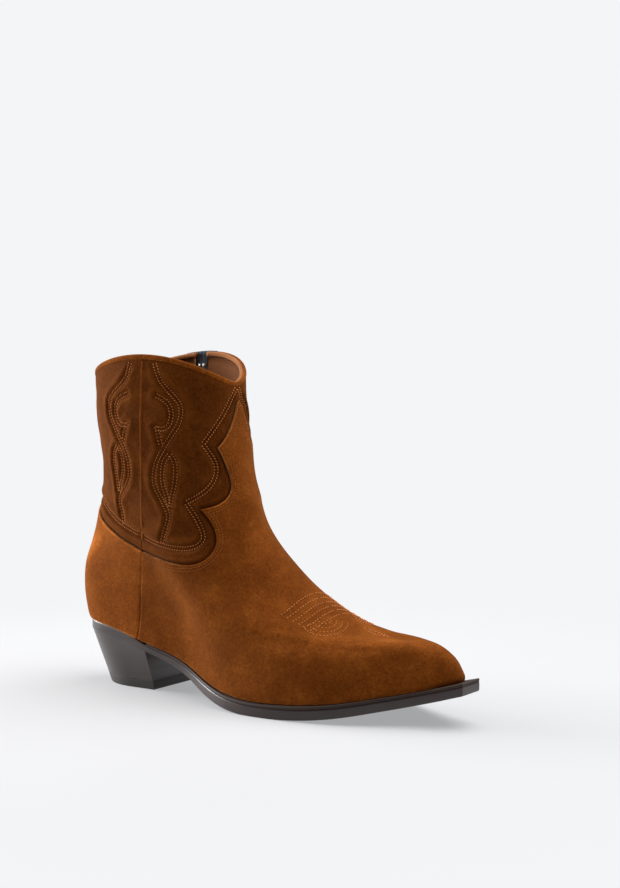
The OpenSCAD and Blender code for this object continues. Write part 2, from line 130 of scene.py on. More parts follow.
def zip_wide(r):
    """Half width of a ring that puts the inner wall on the zip's straight line."""
    u = (zip_x - r[2]) / (r[0] - r[2])
    c = 2 * u - 1
    z = mix(r[3], r[1], u) + r[7] * rise(zip_x) + r[8] * peak_shape(c)
    wall = zip_y0 + zip_slope * (z - zip_z0)
    return wall / (math.sqrt(1 - c * c) * mix(curve(PLAN_IN, u), 1, r[6]))


def ring_table(steps=160):
    rows = []
    for k in range(steps + 1):
        r = ring_at(k / steps).copy()
        r[5] = mix(r[5], zip_wide(r), smooth((k / steps - .12) / .18))
        rows.append(r)
    return np.array(rows)


RING_TABLE = ring_table()


def ring(t):
    k = np.clip(np.asarray(t, float), 0, 1) * (len(RING_TABLE) - 1)
    i = np.minimum(k.astype(int), len(RING_TABLE) - 2)
    return mix(RING_TABLE[i], RING_TABLE[i + 1], (k - i)[..., None])


def lean(x):
    """How far the middle of the toe curves towards the inner side."""
    return 2.6 * np.clip((x - 150) / 85, 0, 1.3) ** 2


def base(s, t):
    """Point of the upper's base surface."""
    s = (np.asarray(s, float) + .5) % 1 - .5
    s, t = np.broadcast_arrays(s, np.asarray(t, float))
    r = ring(t)
    c = np.cos(2 * np.pi * s)
    u = (1 + c) / 2
    x = mix(r[..., 2], r[..., 0], u)
    wide = np.where(s < 0, r[..., 4], r[..., 5])
    plan = mix(np.where(s < 0, curve(PLAN_OUT, u), curve(PLAN_IN, u)), 1, r[..., 6])
    y = lean(x) * (1 - r[..., 6]) + np.sin(2 * np.pi * s) * wide * plan
    z = mix(r[..., 3], r[..., 1], u) + r[..., 7] * rise(x) + r[..., 8] * peak_shape(c)
    return np.stack([x, y, z], -1)


def unit(v):
    return v / np.linalg.norm(v, axis=-1, keepdims=True)


def facing(s, t, e=.002):
    """Outward direction there; level along the foot line."""
    s, t = np.broadcast_arrays(np.asarray(s, float), np.asarray(t, float))
    n = np.cross(base(s + e, t) - base(s - e, t),
                 base(s, np.clip(t + e, 0, 1)) - base(s, np.clip(t - e, 0, 1)))
    n = unit(n)
    n[..., 2] *= smooth(t / .12)
    return unit(n)


def skin(s, t, d):
    """The same point moved d outward."""
    return base(s, t) + facing(s, t) * np.broadcast_to(d, np.shape(s))[..., None]


def round_at(x, t):
    """How far round the boot (|s|) the surface lies at x."""
    r = ring(t)
    return np.arccos(np.clip(2 * (x - r[..., 2]) / (r[..., 0] - r[..., 2]) - 1, -1, 1)) / (2 * np.pi)


def seam_s(t, dx=0.):
    """How far round the outer side seam lies; dx mm in front of it."""
    return round_at(seam_x + seam_slant * np.asarray(t) + dx, t)


def zip_s(t, dx=0.):
    return round_at(zip_x + dx, t)


def slot(t):
    """Half width of the cut for the zip; a closed seam below the zip."""
    return mix(.2, slot_w, smooth((np.asarray(t) - .19) / .05))


def in_scene(name, data):
    """New object in the scene."""
    made = bpy.data.objects.new(name, data)
    bpy.context.scene.collection.objects.link(made)
    return made


def new_piece(name, points, faces, materials, slots=None, body="boot", sharp=None, replaces=(),
              turn_out=True):
    """Mesh piece from points in millimetres, riding on a body, with its faces turned outward."""
    mesh = bpy.data.meshes.new(name)
    mesh.from_pydata((np.asarray(points, float) * MM).tolist(), [], faces)
    if turn_out:
        bm = bmesh.new()
        bm.from_mesh(mesh)
        bmesh.ops.recalc_face_normals(bm, faces=bm.faces)
        bm.to_mesh(mesh)
        bm.free()
    for m in materials:
        mesh.materials.append(m)
    mesh.polygons.foreach_set("use_smooth", [True] * len(mesh.polygons))
    if slots is not None:
        mesh.polygons.foreach_set("material_index", slots)
    if sharp is not None:
        mesh.set_sharp_from_angle(angle=math.radians(sharp))
    mesh.update()
    piece = in_scene(name, mesh)
    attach(piece, body)
    if replaces:
        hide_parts(*replaces)
    return piece


def set_wear_and_shade(piece, values):
    """Per point number that the suede's nodes multiply its colour by, painting shade where low and
    highlights and the pale cut edges where high: 0 in a seam, 1 on a puffed ridge.
    """
    attribute = piece.data.attributes.new("wear_and_shade", "FLOAT", "POINT")
    attribute.data.foreach_set("value", np.asarray(values, np.float32).ravel())


def grid_faces(m, n, first=0, flip=False):
    """Quads of a grid of m rows of n points, whose first point has the given index."""
    i, j = np.meshgrid(np.arange(m - 1), np.arange(n - 1), indexing="ij")
    a = (i * n + j + first).ravel()
    quads = np.stack([a, a + n, a + n + 1, a + 1], 1)
    return quads[:, ::-1] if flip else quads


def border(m, n):
    """Indices round a grid's edge, in order."""
    top, right = [(0, j) for j in range(n)], [(i, n - 1) for i in range(1, m)]
    low, left = [(m - 1, j) for j in range(n - 2, -1, -1)], [(i, 0) for i in range(m - 2, 0, -1)]
    return np.array([i * n + j for i, j in top + right + low + left])


def edge_distance(points):
    """Distance in mm of each grid point from the grid's nearest edge, measured along its lines."""
    def along(p):
        step = np.linalg.norm(np.diff(p, axis=1), axis=-1)
        run = np.concatenate([np.zeros((len(p), 1)), np.cumsum(step, 1)], 1)
        return np.minimum(run, run[:, -1:] - run)
    return np.minimum(along(points), along(points.swapaxes(0, 1)).T)


def closed(name, first, second, materials, flip=True, **how):
    """Closed piece between two grids of points; its edge takes the last material."""
    m, n = first.shape[:2]
    a = border(m, n)
    b = np.roll(a, -1)
    rim = np.stack([a, b, b + m * n, a + m * n], 1)
    faces = np.concatenate([grid_faces(m, n, flip=flip), grid_faces(m, n, m * n, flip=not flip),
                            rim if flip else rim[:, [0, 3, 2, 1]]])
    slots = np.zeros(len(faces), int)
    slots[-len(a):] = len(materials) - 1
    points = np.concatenate([first.reshape(-1, 3), second.reshape(-1, 3)])
    return new_piece(name, points, faces.tolist(), materials, slots, **how)


def shell(name, s, t, outer, inner, materials, round_edge=0., wear_and_shade=None, **how):
    """Closed shell over a grid of (s, t), between two distances from the base surface, with its
    outer edge rounded."""
    flat, out = base(s, t), facing(s, t)
    drop = 0.
    if round_edge:
        near = np.clip(edge_distance(flat) / round_edge, 0, 1)
        drop = round_edge * (1 - np.sqrt(1 - (1 - near) ** 2))
    top = flat + out * (np.broadcast_to(outer, s.shape) - drop)[..., None]
    low = flat + out * np.broadcast_to(inner, s.shape)[..., None]
    piece = closed(name, top, low, materials, **how)
    if wear_and_shade is not None:
        set_wear_and_shade(piece, np.concatenate([wear_and_shade.ravel(), wear_and_shade.ravel() * 0 + .5]))
    return piece


def band_faces(rows, n, closed=False):
    """Quads between rows of n points, each row a closed loop; closed joins the last row to the first."""
    faces = []
    for k in range(rows if closed else rows - 1):
        up = n * ((k + 1) % rows - k)
        for i in range(n):
            a, b = k * n + i, k * n + (i + 1) % n
            faces.append((a, b, b + up, a + up))
    return faces


def strip(name, sections, materials, **how):
    """Tube through cross sections, an array of steps by points by xyz, with flat ends."""
    m, n = sections.shape[:2]
    faces = band_faces(m, n)
    faces += [tuple(range(n - 1, -1, -1)), tuple((m - 1) * n + j for j in range(n))]
    return new_piece(name, sections.reshape(-1, 3), faces, materials, **how)


def steps(n, fine=(.0, .002, .0055, .011)):
    """Numbers from 0 to 1, closer together near both ends."""
    fine = list(fine)
    middle = np.linspace(fine[-1], 1 - fine[-1], n)[1:-1]
    return np.array(fine + list(middle) + [1 - f for f in reversed(fine)])


def waves(p, size, seed):
    """Gentle unevenness between about -1 and 1, with bumps of about that size in mm."""
    rng = np.random.default_rng(seed)
    total = 0.
    for _ in range(7):
        way = unit(rng.normal(size=3)) * 2 * np.pi / (size * rng.uniform(.7, 1.6))
        total = total + np.sin(p @ way + rng.uniform(0, 6.3))
    return total / 3.2


# ---- seam lines and quilting, as paths of (s, t) --------------------------------
SCALLOPS = [
    [[.305, cross_t], [.225, .53], [.158, .612]],
    [[.158, .612], [.105, .67], [.14, .716]],
    [[.14, .716], [.05, .745], [.057, .796]],
    [[.057, .796], [.062, .83], [.078, .853]],
    [[.078, .853], [.045, .88], [.008, tongue_t]]]


def bez(p, f):
    """Curve with one control point."""
    p = np.array(p)
    f = np.asarray(f, float)[..., None]
    return p[0] * (1 - f) ** 2 + p[1] * 2 * f * (1 - f) + p[2] * f * f


def cover_end(t, side):
    """The vamp's rear edge below the scallops: the outer seam, or the zip's slot."""
    return seam_s(t, .2) if side < 0 else zip_s(t, slot(t))


def scallop_path(side, count=24):
    """(|s|, t) along the vamp's scalloped edge from the side up to the tongue."""
    fix = cover_end(cross_t, side) - .305
    f = np.arange(count) / count
    points = np.concatenate([bez(b, f) for b in SCALLOPS] + [np.array([SCALLOPS[-1][2]])])
    points[:, 0] += fix * smooth((points[:, 0] - .158) / .147)
    return points


def counter_top(a):
    """Height t of the counter cover's top edge; a is 0 at the outer seam, 1 at the zip."""
    v = 1 - np.abs(2 * a - 1)
    return cross_t + .036 * v + .082 * v * v


def behind(a, t, w):
    """s of the pieces behind the side seams: a is 0 at the outer seam, 1 at the zip."""
    out = seam_s(t, -.2)
    inn = zip_s(t, -w)
    return -(out + a * (1 - inn - out))


def ahead(p, t, w):
    """s of the pieces ahead of the side seams: p is -1 at the outer seam, 1 at the zip."""
    return np.where(p < 0, p * seam_s(t, .2), p * zip_s(t, w))


def spline(points, per=14):
    """Smooth path through a few points."""
    p = np.array(points, float)
    p = np.concatenate([[2 * p[0] - p[1]], p, [2 * p[-1] - p[-2]]])
    out = []
    for i in range(1, len(p) - 2):
        f = (np.arange(per) / per)[:, None]
        a, b, c, d = p[i - 1], p[i], p[i + 1], p[i + 2]
        out.append(.5 * (2 * b + (c - a) * f + (2 * a - 5 * b + 4 * c - d) * f ** 2
                         + (3 * b - a - 3 * c + d) * f ** 3))
    return np.concatenate(out + [p[-2:-1]])


# the border row on the shaft, (|s|, t), from the front over both cusps to the rear
BORDER = [
    [(.004, .984), (.054, .922), (.110, .854)],
    [(.110, .854), (.089, .824), (.090, .798), (.116, .764), (.167, .726)],
    [(.167, .726), (.154, .688), (.157, .648), (.193, .612), (.250, .587), (.298, .585),
     (.350, .602), (.410, .645), (.500, .688)]]
# flames, as (distance from the side seam in s, t)
FLAMES = [
    [(.026, .982), (.035, .958), (.047, .944), (.067, .929), (.080, .917), (.083, .900),
     (.078, .880), (.066, .860), (.046, .827), (.033, .800), (.028, .768), (.034, .742),
     (.046, .718), (.057, .690), (.055, .665), (.047, .630), (.041, .594)],
    [(.030, .925), (.044, .921), (.056, .914), (.063, .902), (.063, .888), (.058, .874),
     (.046, .866), (.030, .866)],
    [(.032, .870), (.038, .853), (.043, .836)],
    [(.061, .822), (.050, .806), (.046, .784), (.047, .760), (.054, .734), (.060, .706)],
    [(.061, .822), (.070, .810), (.073, .790), (.071, .764), (.066, .738), (.061, .706)]]


def aside(path, distance):
    """A path on the surface moved sideways by a distance in mm, to its left as seen from outside."""
    s, t = path.T
    e = .001
    ds = (base(s + e, t) - base(s - e, t)) / (2 * e)
    dt = (base(s, np.clip(t + e, 0, 1)) - base(s, np.clip(t - e, 0, 1)))
    dt = dt / (np.clip(t + e, 0, 1) - np.clip(t - e, 0, 1))[:, None]
    p = base(s, t)
    side = unit(np.cross(facing(s, t), unit(np.gradient(p, axis=0)))) * distance
    a, b, c = (ds * ds).sum(-1), (ds * dt).sum(-1), (dt * dt).sum(-1)
    u, v = (ds * side).sum(-1), (dt * side).sum(-1)
    det = a * c - b * b
    moved = np.stack([s + (c * u - b * v) / det, t + (a * v - b * u) / det], 1)
    gap = np.linalg.norm(base(*moved.T)[:, None] - p[None], axis=-1).min(1)
    return moved[gap > abs(distance) * .93]


def both_sides(path):
    """A path of (|s|, t) on the outer side and on the inner side."""
    return [path * [-1, 1], path.copy()]


def flame_paths():
    """Each flame line in front of and behind the seam on the outer side, and the zip on the inner."""
    paths = []
    for line in FLAMES:
        o, t = spline(line, 8).T
        for side, middle in ((-1, seam_s(t)), (1, zip_s(t))):
            paths.append(np.stack([side * (middle - o), t], 1))
            paths.append(np.stack([side * (middle + o * 1.05), t], 1))
    return paths


def border_paths():
    paths = []
    for part in BORDER:
        paths += both_sides(spline(part, 14))
    return paths


def vamp_edge_paths():
    return [scallop_path(side) * [side, 1] for side in (-1, 1)]


def counter_edge_path():
    a = np.linspace(0, 1, 120)
    t = counter_top(a)
    return np.stack([behind(a, t, slot(t)), t], 1)


def lines_3d(paths, gap=.4):
    """Points every gap mm along the paths on the base surface."""
    out = []
    for path in paths:
        p = base(*path.T)
        run = np.concatenate([[0], np.cumsum(np.linalg.norm(np.diff(p, axis=0), axis=-1))])
        at = np.arange(0, run[-1], gap)
        out.append(np.stack([np.interp(at, run, p[:, k]) for k in range(3)], 1))
    return np.concatenate(out)


def distance_to(lines, points):
    tree = KDTree(len(lines))
    for i, p in enumerate(lines):
        tree.insert(p, i)
    tree.balance()
    return np.array([tree.find(p)[2] for p in points.reshape(-1, 3)]).reshape(points.shape[:-1])


QUILT = [aside(p, d) for p in flame_paths() for d in (-1.2, 1.2)]
QUILT_BORDER = [aside(p, d) for p in border_paths() for d in (-1.15, 1.15)]
COVER_EDGES = vamp_edge_paths() + [counter_edge_path()]
STITCHED = lines_3d(QUILT + QUILT_BORDER)
EDGES = lines_3d(COVER_EDGES)
# distances from the base surface, and how far the cut edges are rounded
MID_OUT, MID_IN, COVER_OUT = -.3, -1.5, 1.5
LINING_OUT, LINING_IN, TAPE_OUT = -2.7, -3.7, -1.85
COVER_ROUND, PANEL_ROUND, LINING_ROUND = .7, .6, .3


def quilt_relief(s, t):
    """(distance from the base surface, wear and painted shade) of the padded shaft panels."""
    p = base(s, t)
    near = distance_to(STITCHED, p)
    edge = distance_to(EDGES, p)
    puff = 1 - np.exp(-(near / 1.05) ** 2)
    swell = .5 + .5 * np.exp(-((np.minimum(near, edge) - 2.6) / 2.6) ** 2)
    under = 1 - np.exp(-(edge / 1.6) ** 2)
    height = puff * swell * mix(.42, 1, under)
    below_top = smooth((top_t - t) / .03)
    d = mix(-.1, -.85 + 1.7 * height + .2 * waves(p, 17, 4), below_top)
    # painted shade: darker in the stitched grooves and a painted shadow along the covers' edges; paler puff
    # tops as a painted highlight
    wear_and_shade = np.clip((.25 + .5 * height) * mix(.35, 1, under) + .06 * waves(p, 12, 8), 0, 1)
    ahead_of = np.where(s < 0, seam_s(t), zip_s(t)) - np.abs(s)
    # painted shade over the panels ahead of the side seam and the zip
    wear_and_shade = wear_and_shade * mix(1, .62, smooth((ahead_of - .075) / .035))
    return d, mix(.5, wear_and_shade, below_top)


# ---- materials ----------------------------------------------------------------
class Nodes:
    """Short way to make nodes, each with its settings and what goes into it."""

    def __init__(self, tree):
        self.nodes, self.links = tree.nodes, tree.links

    def add(self, kind, ins=(), **values):
        node = self.nodes.new("ShaderNode" + kind)
        for key, value in values.items():
            setattr(node, key, value)
        for key, value in dict(ins).items():
            if isinstance(value, bpy.types.NodeSocket):
                self.links.new(value, node.inputs[key])
            else:
                node.inputs[key].default_value = value
        return node


class Tree(Nodes):
    """A node material with short names for what the finishes use."""

    def __init__(self, name, roughness, specular=.5, sheen=0., sheen_tint=(1, 1, 1), coat=0.,
                 metal=0.):
        self.material = bpy.data.materials.new(name)
        self.material.use_nodes = True
        super().__init__(self.material.node_tree)
        self.shader = self.nodes["Principled BSDF"]
        for key, value in (
                ("Roughness", roughness), ("Specular IOR Level", specular), ("Sheen Weight", sheen),
                ("Sheen Roughness", .45), ("Sheen Tint", (*sheen_tint, 1)), ("Coat Weight", coat),
                ("Coat Roughness", .18), ("Metallic", metal)):
            self.shader.inputs[key].default_value = value
        self.place = self.add("TexCoord").outputs["Object"]

    def bands(self, scale, distort, direction):
        ins = {"Vector": self.place, "Scale": scale, "Distortion": distort}
        return self.add("TexWave", ins, wave_type="BANDS", bands_direction=direction).outputs["Fac"]

    def greys(self, fac, low, at_low, high, at_high):
        """Ramp between two greys."""
        return self.ramp(fac, [(low, (at_low,) * 3), (high, (at_high,) * 3)])

    def noise(self, scale, detail=3., rough=.55, stretch=None, distort=0.):
        place = self.place
        if stretch:
            place = self.add("Mapping", {"Vector": place, "Scale": stretch}).outputs[0]
        ins = {"Vector": place, "Scale": scale, "Detail": detail, "Roughness": rough,
               "Distortion": distort}
        return self.add("TexNoise", ins).outputs["Fac"]

    def ramp(self, fac, stops):
        node = self.add("ValToRGB", {"Fac": fac})
        while len(node.color_ramp.elements) < len(stops):
            node.color_ramp.elements.new(.5)
        for element, (at, colour) in zip(node.color_ramp.elements, stops):
            element.position = at
            element.color = (*colour, 1)
        return node.outputs["Color"]

    def blend(self, fac, a, b, mode="MIX"):
        return self.add("MixRGB", {"Fac": fac, "Color1": a, "Color2": b}, blend_type=mode).outputs[0]

    def maths(self, operation, a, b):
        return self.add("Math", {0: a, 1: b}, operation=operation).outputs[0]

    def spread(self, value, low, high, to_low, to_high):
        ins = {"Value": value, "From Min": low, "From Max": high, "To Min": to_low,
               "To Max": to_high}
        return self.add("MapRange", ins).outputs["Result"]

    def colour(self, socket):
        self.links.new(socket, self.shader.inputs["Base Color"])

    def rough(self, socket):
        self.links.new(socket, self.shader.inputs["Roughness"])

    def bump(self, height, distance, strength=1., under=None):
        ins = {"Height": height, "Distance": distance, "Strength": strength}
        if under is not None:
            ins["Normal"] = under
        return self.add("Bump", ins).outputs["Normal"]

    def normal(self, socket):
        self.links.new(socket, self.shader.inputs["Normal"])


# suede from the darkest nap to the palest, and what its colour is multiplied by as the wear and painted
# light rise: mostly painted shade below .68, the pale cut edges and painted highlights above it
SUEDE_SHADES = [(.28, (.156, .0372, .0039)), (.48, (.190, .0480, .0054)),
                (.62, (.230, .0605, .0076)), (.8, (.295, .0840, .0122))]
WEAR_AND_SHADE_TINTS = [(0, (.42, .37, .33)), (.3, (.74, .71, .68)), (.68, (1, 1, 1)),
               (.8, (1.08, 1.1, 1.15)), (1, (2.0, 2.2, 2.6))]


def suede(name, tone=1., worn_and_shaded=True, sheen=.22):
    """Brushed suede: blotchy nap, short brush strokes, fibre grain, painted shade in the seams, painted
    highlights on the ridges.
    """
    tree = Tree(name, .92, specular=.03, sheen=sheen, sheen_tint=(1, .42, .13))
    nap = tree.noise(60, 6, .62, distort=.4)
    colour = tree.ramp(nap, [(at, tuple(v * tone for v in shade)) for at, shade in SUEDE_SHADES])
    tuft = tree.noise(560, 3, .7, distort=.3)
    colour = tree.blend(.75, colour, tree.greys(tuft, .3, .33, .7, .69), "OVERLAY")
    grain = tree.noise(1700, 3, .7)
    colour = tree.blend(.6, colour, tree.greys(grain, .3, .2, .72, .8), "OVERLAY")
    if worn_and_shaded:
        # the point attribute paints shade and highlights into the colour, besides the pale cut edges
        wear_and_shade = tree.add("Attribute", attribute_name="wear_and_shade").outputs["Fac"]
        colour = tree.blend(1., colour, tree.ramp(wear_and_shade, WEAR_AND_SHADE_TINTS), "MULTIPLY")
    tree.colour(colour)
    tree.rough(tree.spread(grain, .3, .7, .85, .98))
    soft = tree.bump(tuft, .0006, .7)
    tree.normal(tree.bump(grain, .0005, .75, soft))
    return tree.material


def leather(name, dark, light, roughness=.5, grain=900):
    """Smooth leather: soft patches under fine round cells."""
    tree = Tree(name, roughness, specular=.1)
    patch = tree.noise(60, 4, .6)
    colour = tree.ramp(patch, [(.3, dark), (.7, light)])
    ins = {"Vector": tree.place, "Scale": grain, "Randomness": .9}
    cell = tree.add("TexVoronoi", ins, feature="F1").outputs["Distance"]
    tree.colour(tree.blend(.25, colour, tree.greys(cell, 0, .35, .6, .65), "OVERLAY"))
    tree.rough(tree.spread(patch, .3, .7, roughness - .08, roughness + .1))
    tree.normal(tree.bump(cell, .0003, .45))
    return tree.material


def fleck(name, noise, colours, bump, roughness, **look):
    """One fine pattern in two colours: cut suede, moulded rubber, fibre board."""
    tree = Tree(name, roughness, **look)
    pattern = tree.noise(*noise)
    tree.colour(tree.ramp(pattern, colours))
    tree.normal(tree.bump(pattern, *bump))
    return tree.material


def burnished(name, dark, light, roughness, coat, specular=.5):
    """Stained and waxed sole edge and heel: fine level strokes under a soft polish."""
    tree = Tree(name, roughness, specular=specular, coat=coat)
    strokes = tree.noise(130, 4, .6, stretch=(.25, .25, 3.2))
    cloud = tree.noise(35, 3, .5)
    colour = tree.ramp(tree.blend(.5, cloud, strokes), [(.35, dark), (.65, light)])
    tree.colour(colour)
    tree.rough(tree.spread(strokes, .3, .7, roughness - .06, roughness + .08))
    fine = tree.noise(700, 3, .6, stretch=(.2, .2, 2.5))
    tree.normal(tree.bump(fine, .00012, .35))
    return tree.material


def thread(name, dark, light):
    """Twisted thread."""
    tree = Tree(name, .75, specular=.12)
    twist = tree.bands(900, 2., "DIAGONAL")
    tree.colour(tree.ramp(twist, [(.2, dark), (.8, light)]))
    tree.normal(tree.bump(twist, .0001, .5))
    return tree.material


def woven(name, dark, light):
    """Twill zip tape."""
    tree = Tree(name, .8, specular=.2, sheen=.3)
    weave = tree.maths("MULTIPLY", tree.bands(420, .4, "DIAGONAL"), tree.bands(260, .2, "Z"))
    dust = tree.noise(120, 3, .6)
    threads = tree.ramp(weave, [(.1, dark), (.8, light)])
    tree.colour(tree.blend(.3, threads, tree.ramp(dust, [(.3, dark), (.7, light)])))
    tree.normal(tree.bump(weave, .0002, .7))
    return tree.material


def metal(name, colour, roughness=.24):
    """Plated metal, rubbed here and there."""
    tree = Tree(name, roughness, metal=1.)
    rub = tree.noise(220, 4, .6)
    tree.colour(tree.ramp(rub, [(.3, tuple(v * .86 for v in colour)), (.7, colour)]))
    tree.rough(tree.spread(rub, .3, .7, roughness - .06, roughness + .12))
    tree.normal(tree.bump(tree.noise(1500, 3, .6), .00004, .3))
    return tree.material


def board(name, dark, light):
    return fleck(name, (420, 4, .7), [(.32, dark), (.68, light)], (.0003, .5), .85, specular=.2)


SUEDE = suede("suede_vamp")
# darker copy of the vamp's suede: partly a darker nap, partly painted shade on the shaft panels
SUEDE_SHAFT = suede("suede_shaft", tone=.60, sheen=.13)
# lighter copy of the vamp's suede: painted light on the counter cover
SUEDE_COUNTER_LIT = suede("suede_counter_painted_lit", tone=1.22)
SUEDE_PLAIN = suede("suede_trim", worn_and_shaded=False)
EDGE = fleck("suede_cut_edge", (2600, 3, .6, (1, 1, .4)),
             [(.3, (.22, .105, .040)), (.7, (.42, .225, .100))], (.0003, .6), .95,
             specular=.1, sheen=.3, sheen_tint=(.9, .6, .35))
LINING = leather("lining_leather", (.125, .041, .011), (.200, .073, .022), .85)
BINDING = leather("binding_leather", (.26, .095, .030), (.38, .150, .052), .8)
LINING_LOW = leather("lining_low", (.20, .115, .055), (.30, .18, .09), .6)
SOCK = leather("sock_leather", (.16, .08, .035), (.25, .135, .065), .5)
SOLE = burnished("sole_edge", (.020, .0098, .008), (.038, .0195, .0165), .36, coat=.15)
HEEL = burnished("heel_stack", (.024, .0155, .0134), (.042, .0275, .0240), .36, coat=.2)
# darker, duller copy of the sole leather on its top ledge: painted shade where the upper meets the sole
LEDGE_SHADE = leather("sole_ledge_painted_shade", (.012, .007, .006), (.022, .014, .012), .95)
WELT = burnished("welt_leather", (.024, .013, .010), (.046, .026, .019), .55, coat=0., specular=.3)
TREAD = fleck("top_lift_rubber", (1800, 3, .7),
              [(.3, (.014, .010, .009)), (.7, (.034, .025, .022))], (.0002, .5), .48)
THREAD = thread("quilting_thread", (.50, .170, .046), (.82, .31, .098))
THREAD_TONE = thread("seam_thread", (.26, .080, .018), (.42, .145, .038))
TAPE = woven("zip_tape", (.022, .030, .042), (.050, .066, .086))
STEEL = metal("zip_metal", (.66, .63, .60))


# ---- stitches -------------------------------------------------------------------
# one stitch: where its rings lie along it, how thick they are, and how high; its ends dive in
STITCH_ALONG = np.array([-1, -.62, 0, .62, 1])
STITCH_GIRTH = np.array([.25, .85, 1, .85, .25])
STITCH_RISE = np.array([-.9, -.05, .32, -.05, -.9])
STITCH_SIDES = 6


def bvh(piece):
    mesh = piece.data
    return BVHTree.FromPolygons([v.co for v in mesh.vertices], [p.vertices for p in mesh.polygons])


def stitch_points(spot, up, way, length, thick, lift):
    across = np.cross(up, way)
    turns = np.arange(STITCH_SIDES) * 2 * np.pi / STITCH_SIDES
    points = []
    for x, girth, z in zip(STITCH_ALONG, STITCH_GIRTH, STITCH_RISE):
        centre = spot + way * x * length / 2 + up * (lift + z * thick)
        points += [centre + (across * math.cos(q) + up * math.sin(q)) * girth * thick for q in turns]
    return points


def stitch_faces(first):
    n, faces = STITCH_SIDES, []
    last = first + (len(STITCH_ALONG) - 1) * n
    for row in range(first, last, n):
        for j in range(n):
            p, q = row + j, row + (j + 1) % n
            faces.append((p, p + n, q + n, q))
    faces.append(tuple(first + j for j in range(n)))
    faces.append(tuple(last + j for j in range(n - 1, -1, -1)))
    return faces


def stitches(name, paths, targets, material, pitch, length, thick, slant=0., skip=None, lift=.14):
    """Rows of separate stitches lying on the target pieces. Paths are lists of (points, outward)."""
    trees = [bvh(target) for target in targets]
    points, faces = [], []
    for line, outward in paths:
        run = np.concatenate([[0], np.cumsum(np.linalg.norm(np.diff(line, axis=0), axis=-1))])
        count = int(run[-1] / pitch)
        for k in range(count):
            at = (k + .5) * run[-1] / count
            a, b = (np.array([np.interp(end, run, line[:, i]) for i in range(3)])
                    for end in (at - length / 2, at + length / 2))
            out = unit(np.array([np.interp(at, run, outward[:, i]) for i in range(3)]))
            middle = (a + b) / 2
            if skip is not None and skip(middle):
                continue
            hit = land(trees, middle, out)
            if hit is None:
                continue
            spot, up = hit
            way = unit((b - a) - up * ((b - a) @ up))
            if slant:
                way = unit(way * math.cos(slant) + np.cross(up, way) * math.sin(slant))
            faces += stitch_faces(len(points))
            points += stitch_points(spot, up, way, length, thick, lift)
    return new_piece(name, points, faces, [material])


def land(trees, p, out):
    """Nearest surface met coming in along out: (point in mm, its normal)."""
    best = None
    for tree in trees:
        place, normal, _, distance = tree.ray_cast(Vector((p + out * 6) * MM), Vector(-out), 12 * MM)
        if place is not None and (best is None or distance < best[0]):
            best = (distance, np.array(place) / MM, np.array(normal))
    if best is None:
        return None
    up = best[2] if best[2] @ out > 0 else -best[2]
    return best[1], unit(up + out)


def on_surface(paths):
    return [(skin(*p.T, 1.), facing(*p.T)) for p in paths if len(p) > 3]


# ---- upper ------------------------------------------------------------------------
def edge_wear(flat, seed, uneven):
    """Wear of a cover: a pale line along its cut edge."""
    near = edge_distance(flat)
    return .68 + .32 * (near < .95) + uneven * waves(flat, 26, seed)


def toe_softening(flat, t):
    """How far the vamp sinks, so that the shoulders of the forefoot are round and the toe is slim."""
    x, y = flat[..., 0], flat[..., 1]
    here = smooth((x - 70) / 60) * smooth((226 - x) / 30) * smooth((np.abs(y) - 8) / 16)
    shoulder = here * (.5 * np.exp(-((t - .44) / .03) ** 2) - 2.2 * np.exp(-((t - .335) / .05) ** 2))
    toe = -1.25 * smooth((x - 185) / 25) * smooth((t - .1) / .12)
    stays_over_puff = mix(-2.2, -1.35, smooth((x - 165) / 20))
    return np.maximum(shoulder + toe, stays_over_puff)


def vamp_painted_light(flat, t):
    """Painted light on the vamp: painted shade on the sides of the instep, at the tip and at the rear, a
    painted highlight on top of the toe.
    """
    x = flat[..., 0]
    tip = smooth((x - 218) / 14)
    top = smooth((x - 150) / 30) * smooth((t - .3) / .1) * (1 - tip)
    sides = np.exp(-((t - .6) / .1) ** 2)
    rear = smooth((75 - x) / 45)
    return .13 * top - .27 * sides - .32 * tip - .15 * rear


def make_vamp():
    """Vamp: one smooth cover from toe to tongue with the scalloped edge."""
    rows_low, per_scallop, cols = 62, 22, 142
    p = 2 * steps(cols, (0, .0016, .0042, .0085)) - 1
    low = foot_t + (cross_t - foot_t) * np.linspace(0, 1, rows_low, endpoint=False)
    k = np.linspace(0, 1, rows_low + 5 * per_scallop + 1)
    s, t = np.zeros((len(k), len(p))), np.zeros((len(k), len(p)))
    for side in (-1, 1):
        edge = np.concatenate([np.stack([cover_end(low, side), low], 1), scallop_path(side, per_scallop)])
        mine = p < 0 if side < 0 else p >= 0
        a = np.abs(p[mine])
        middle = mix(foot_t, tongue_t + .008, k)[:, None]
        s[:, mine] = side * edge[:, :1] * a
        t[:, mine] = mix(middle, edge[:, 1:], a)
    flat = base(s, t)
    soft = toe_softening(flat, t)
    d = COVER_OUT + soft + .16 * waves(flat, 34, 9) * smooth(t / .1)
    # adds painted shade on the instep's sides, the tip and the rear, and a painted highlight on top of the
    # toe
    wear_and_shade = edge_wear(flat, 2, .07) + vamp_painted_light(flat, t)
    return shell("vamp_suede", s, t, d, np.minimum(soft, 0), [SUEDE, EDGE], round_edge=COVER_ROUND,
                 wear_and_shade=wear_and_shade, replaces=["vamp"])


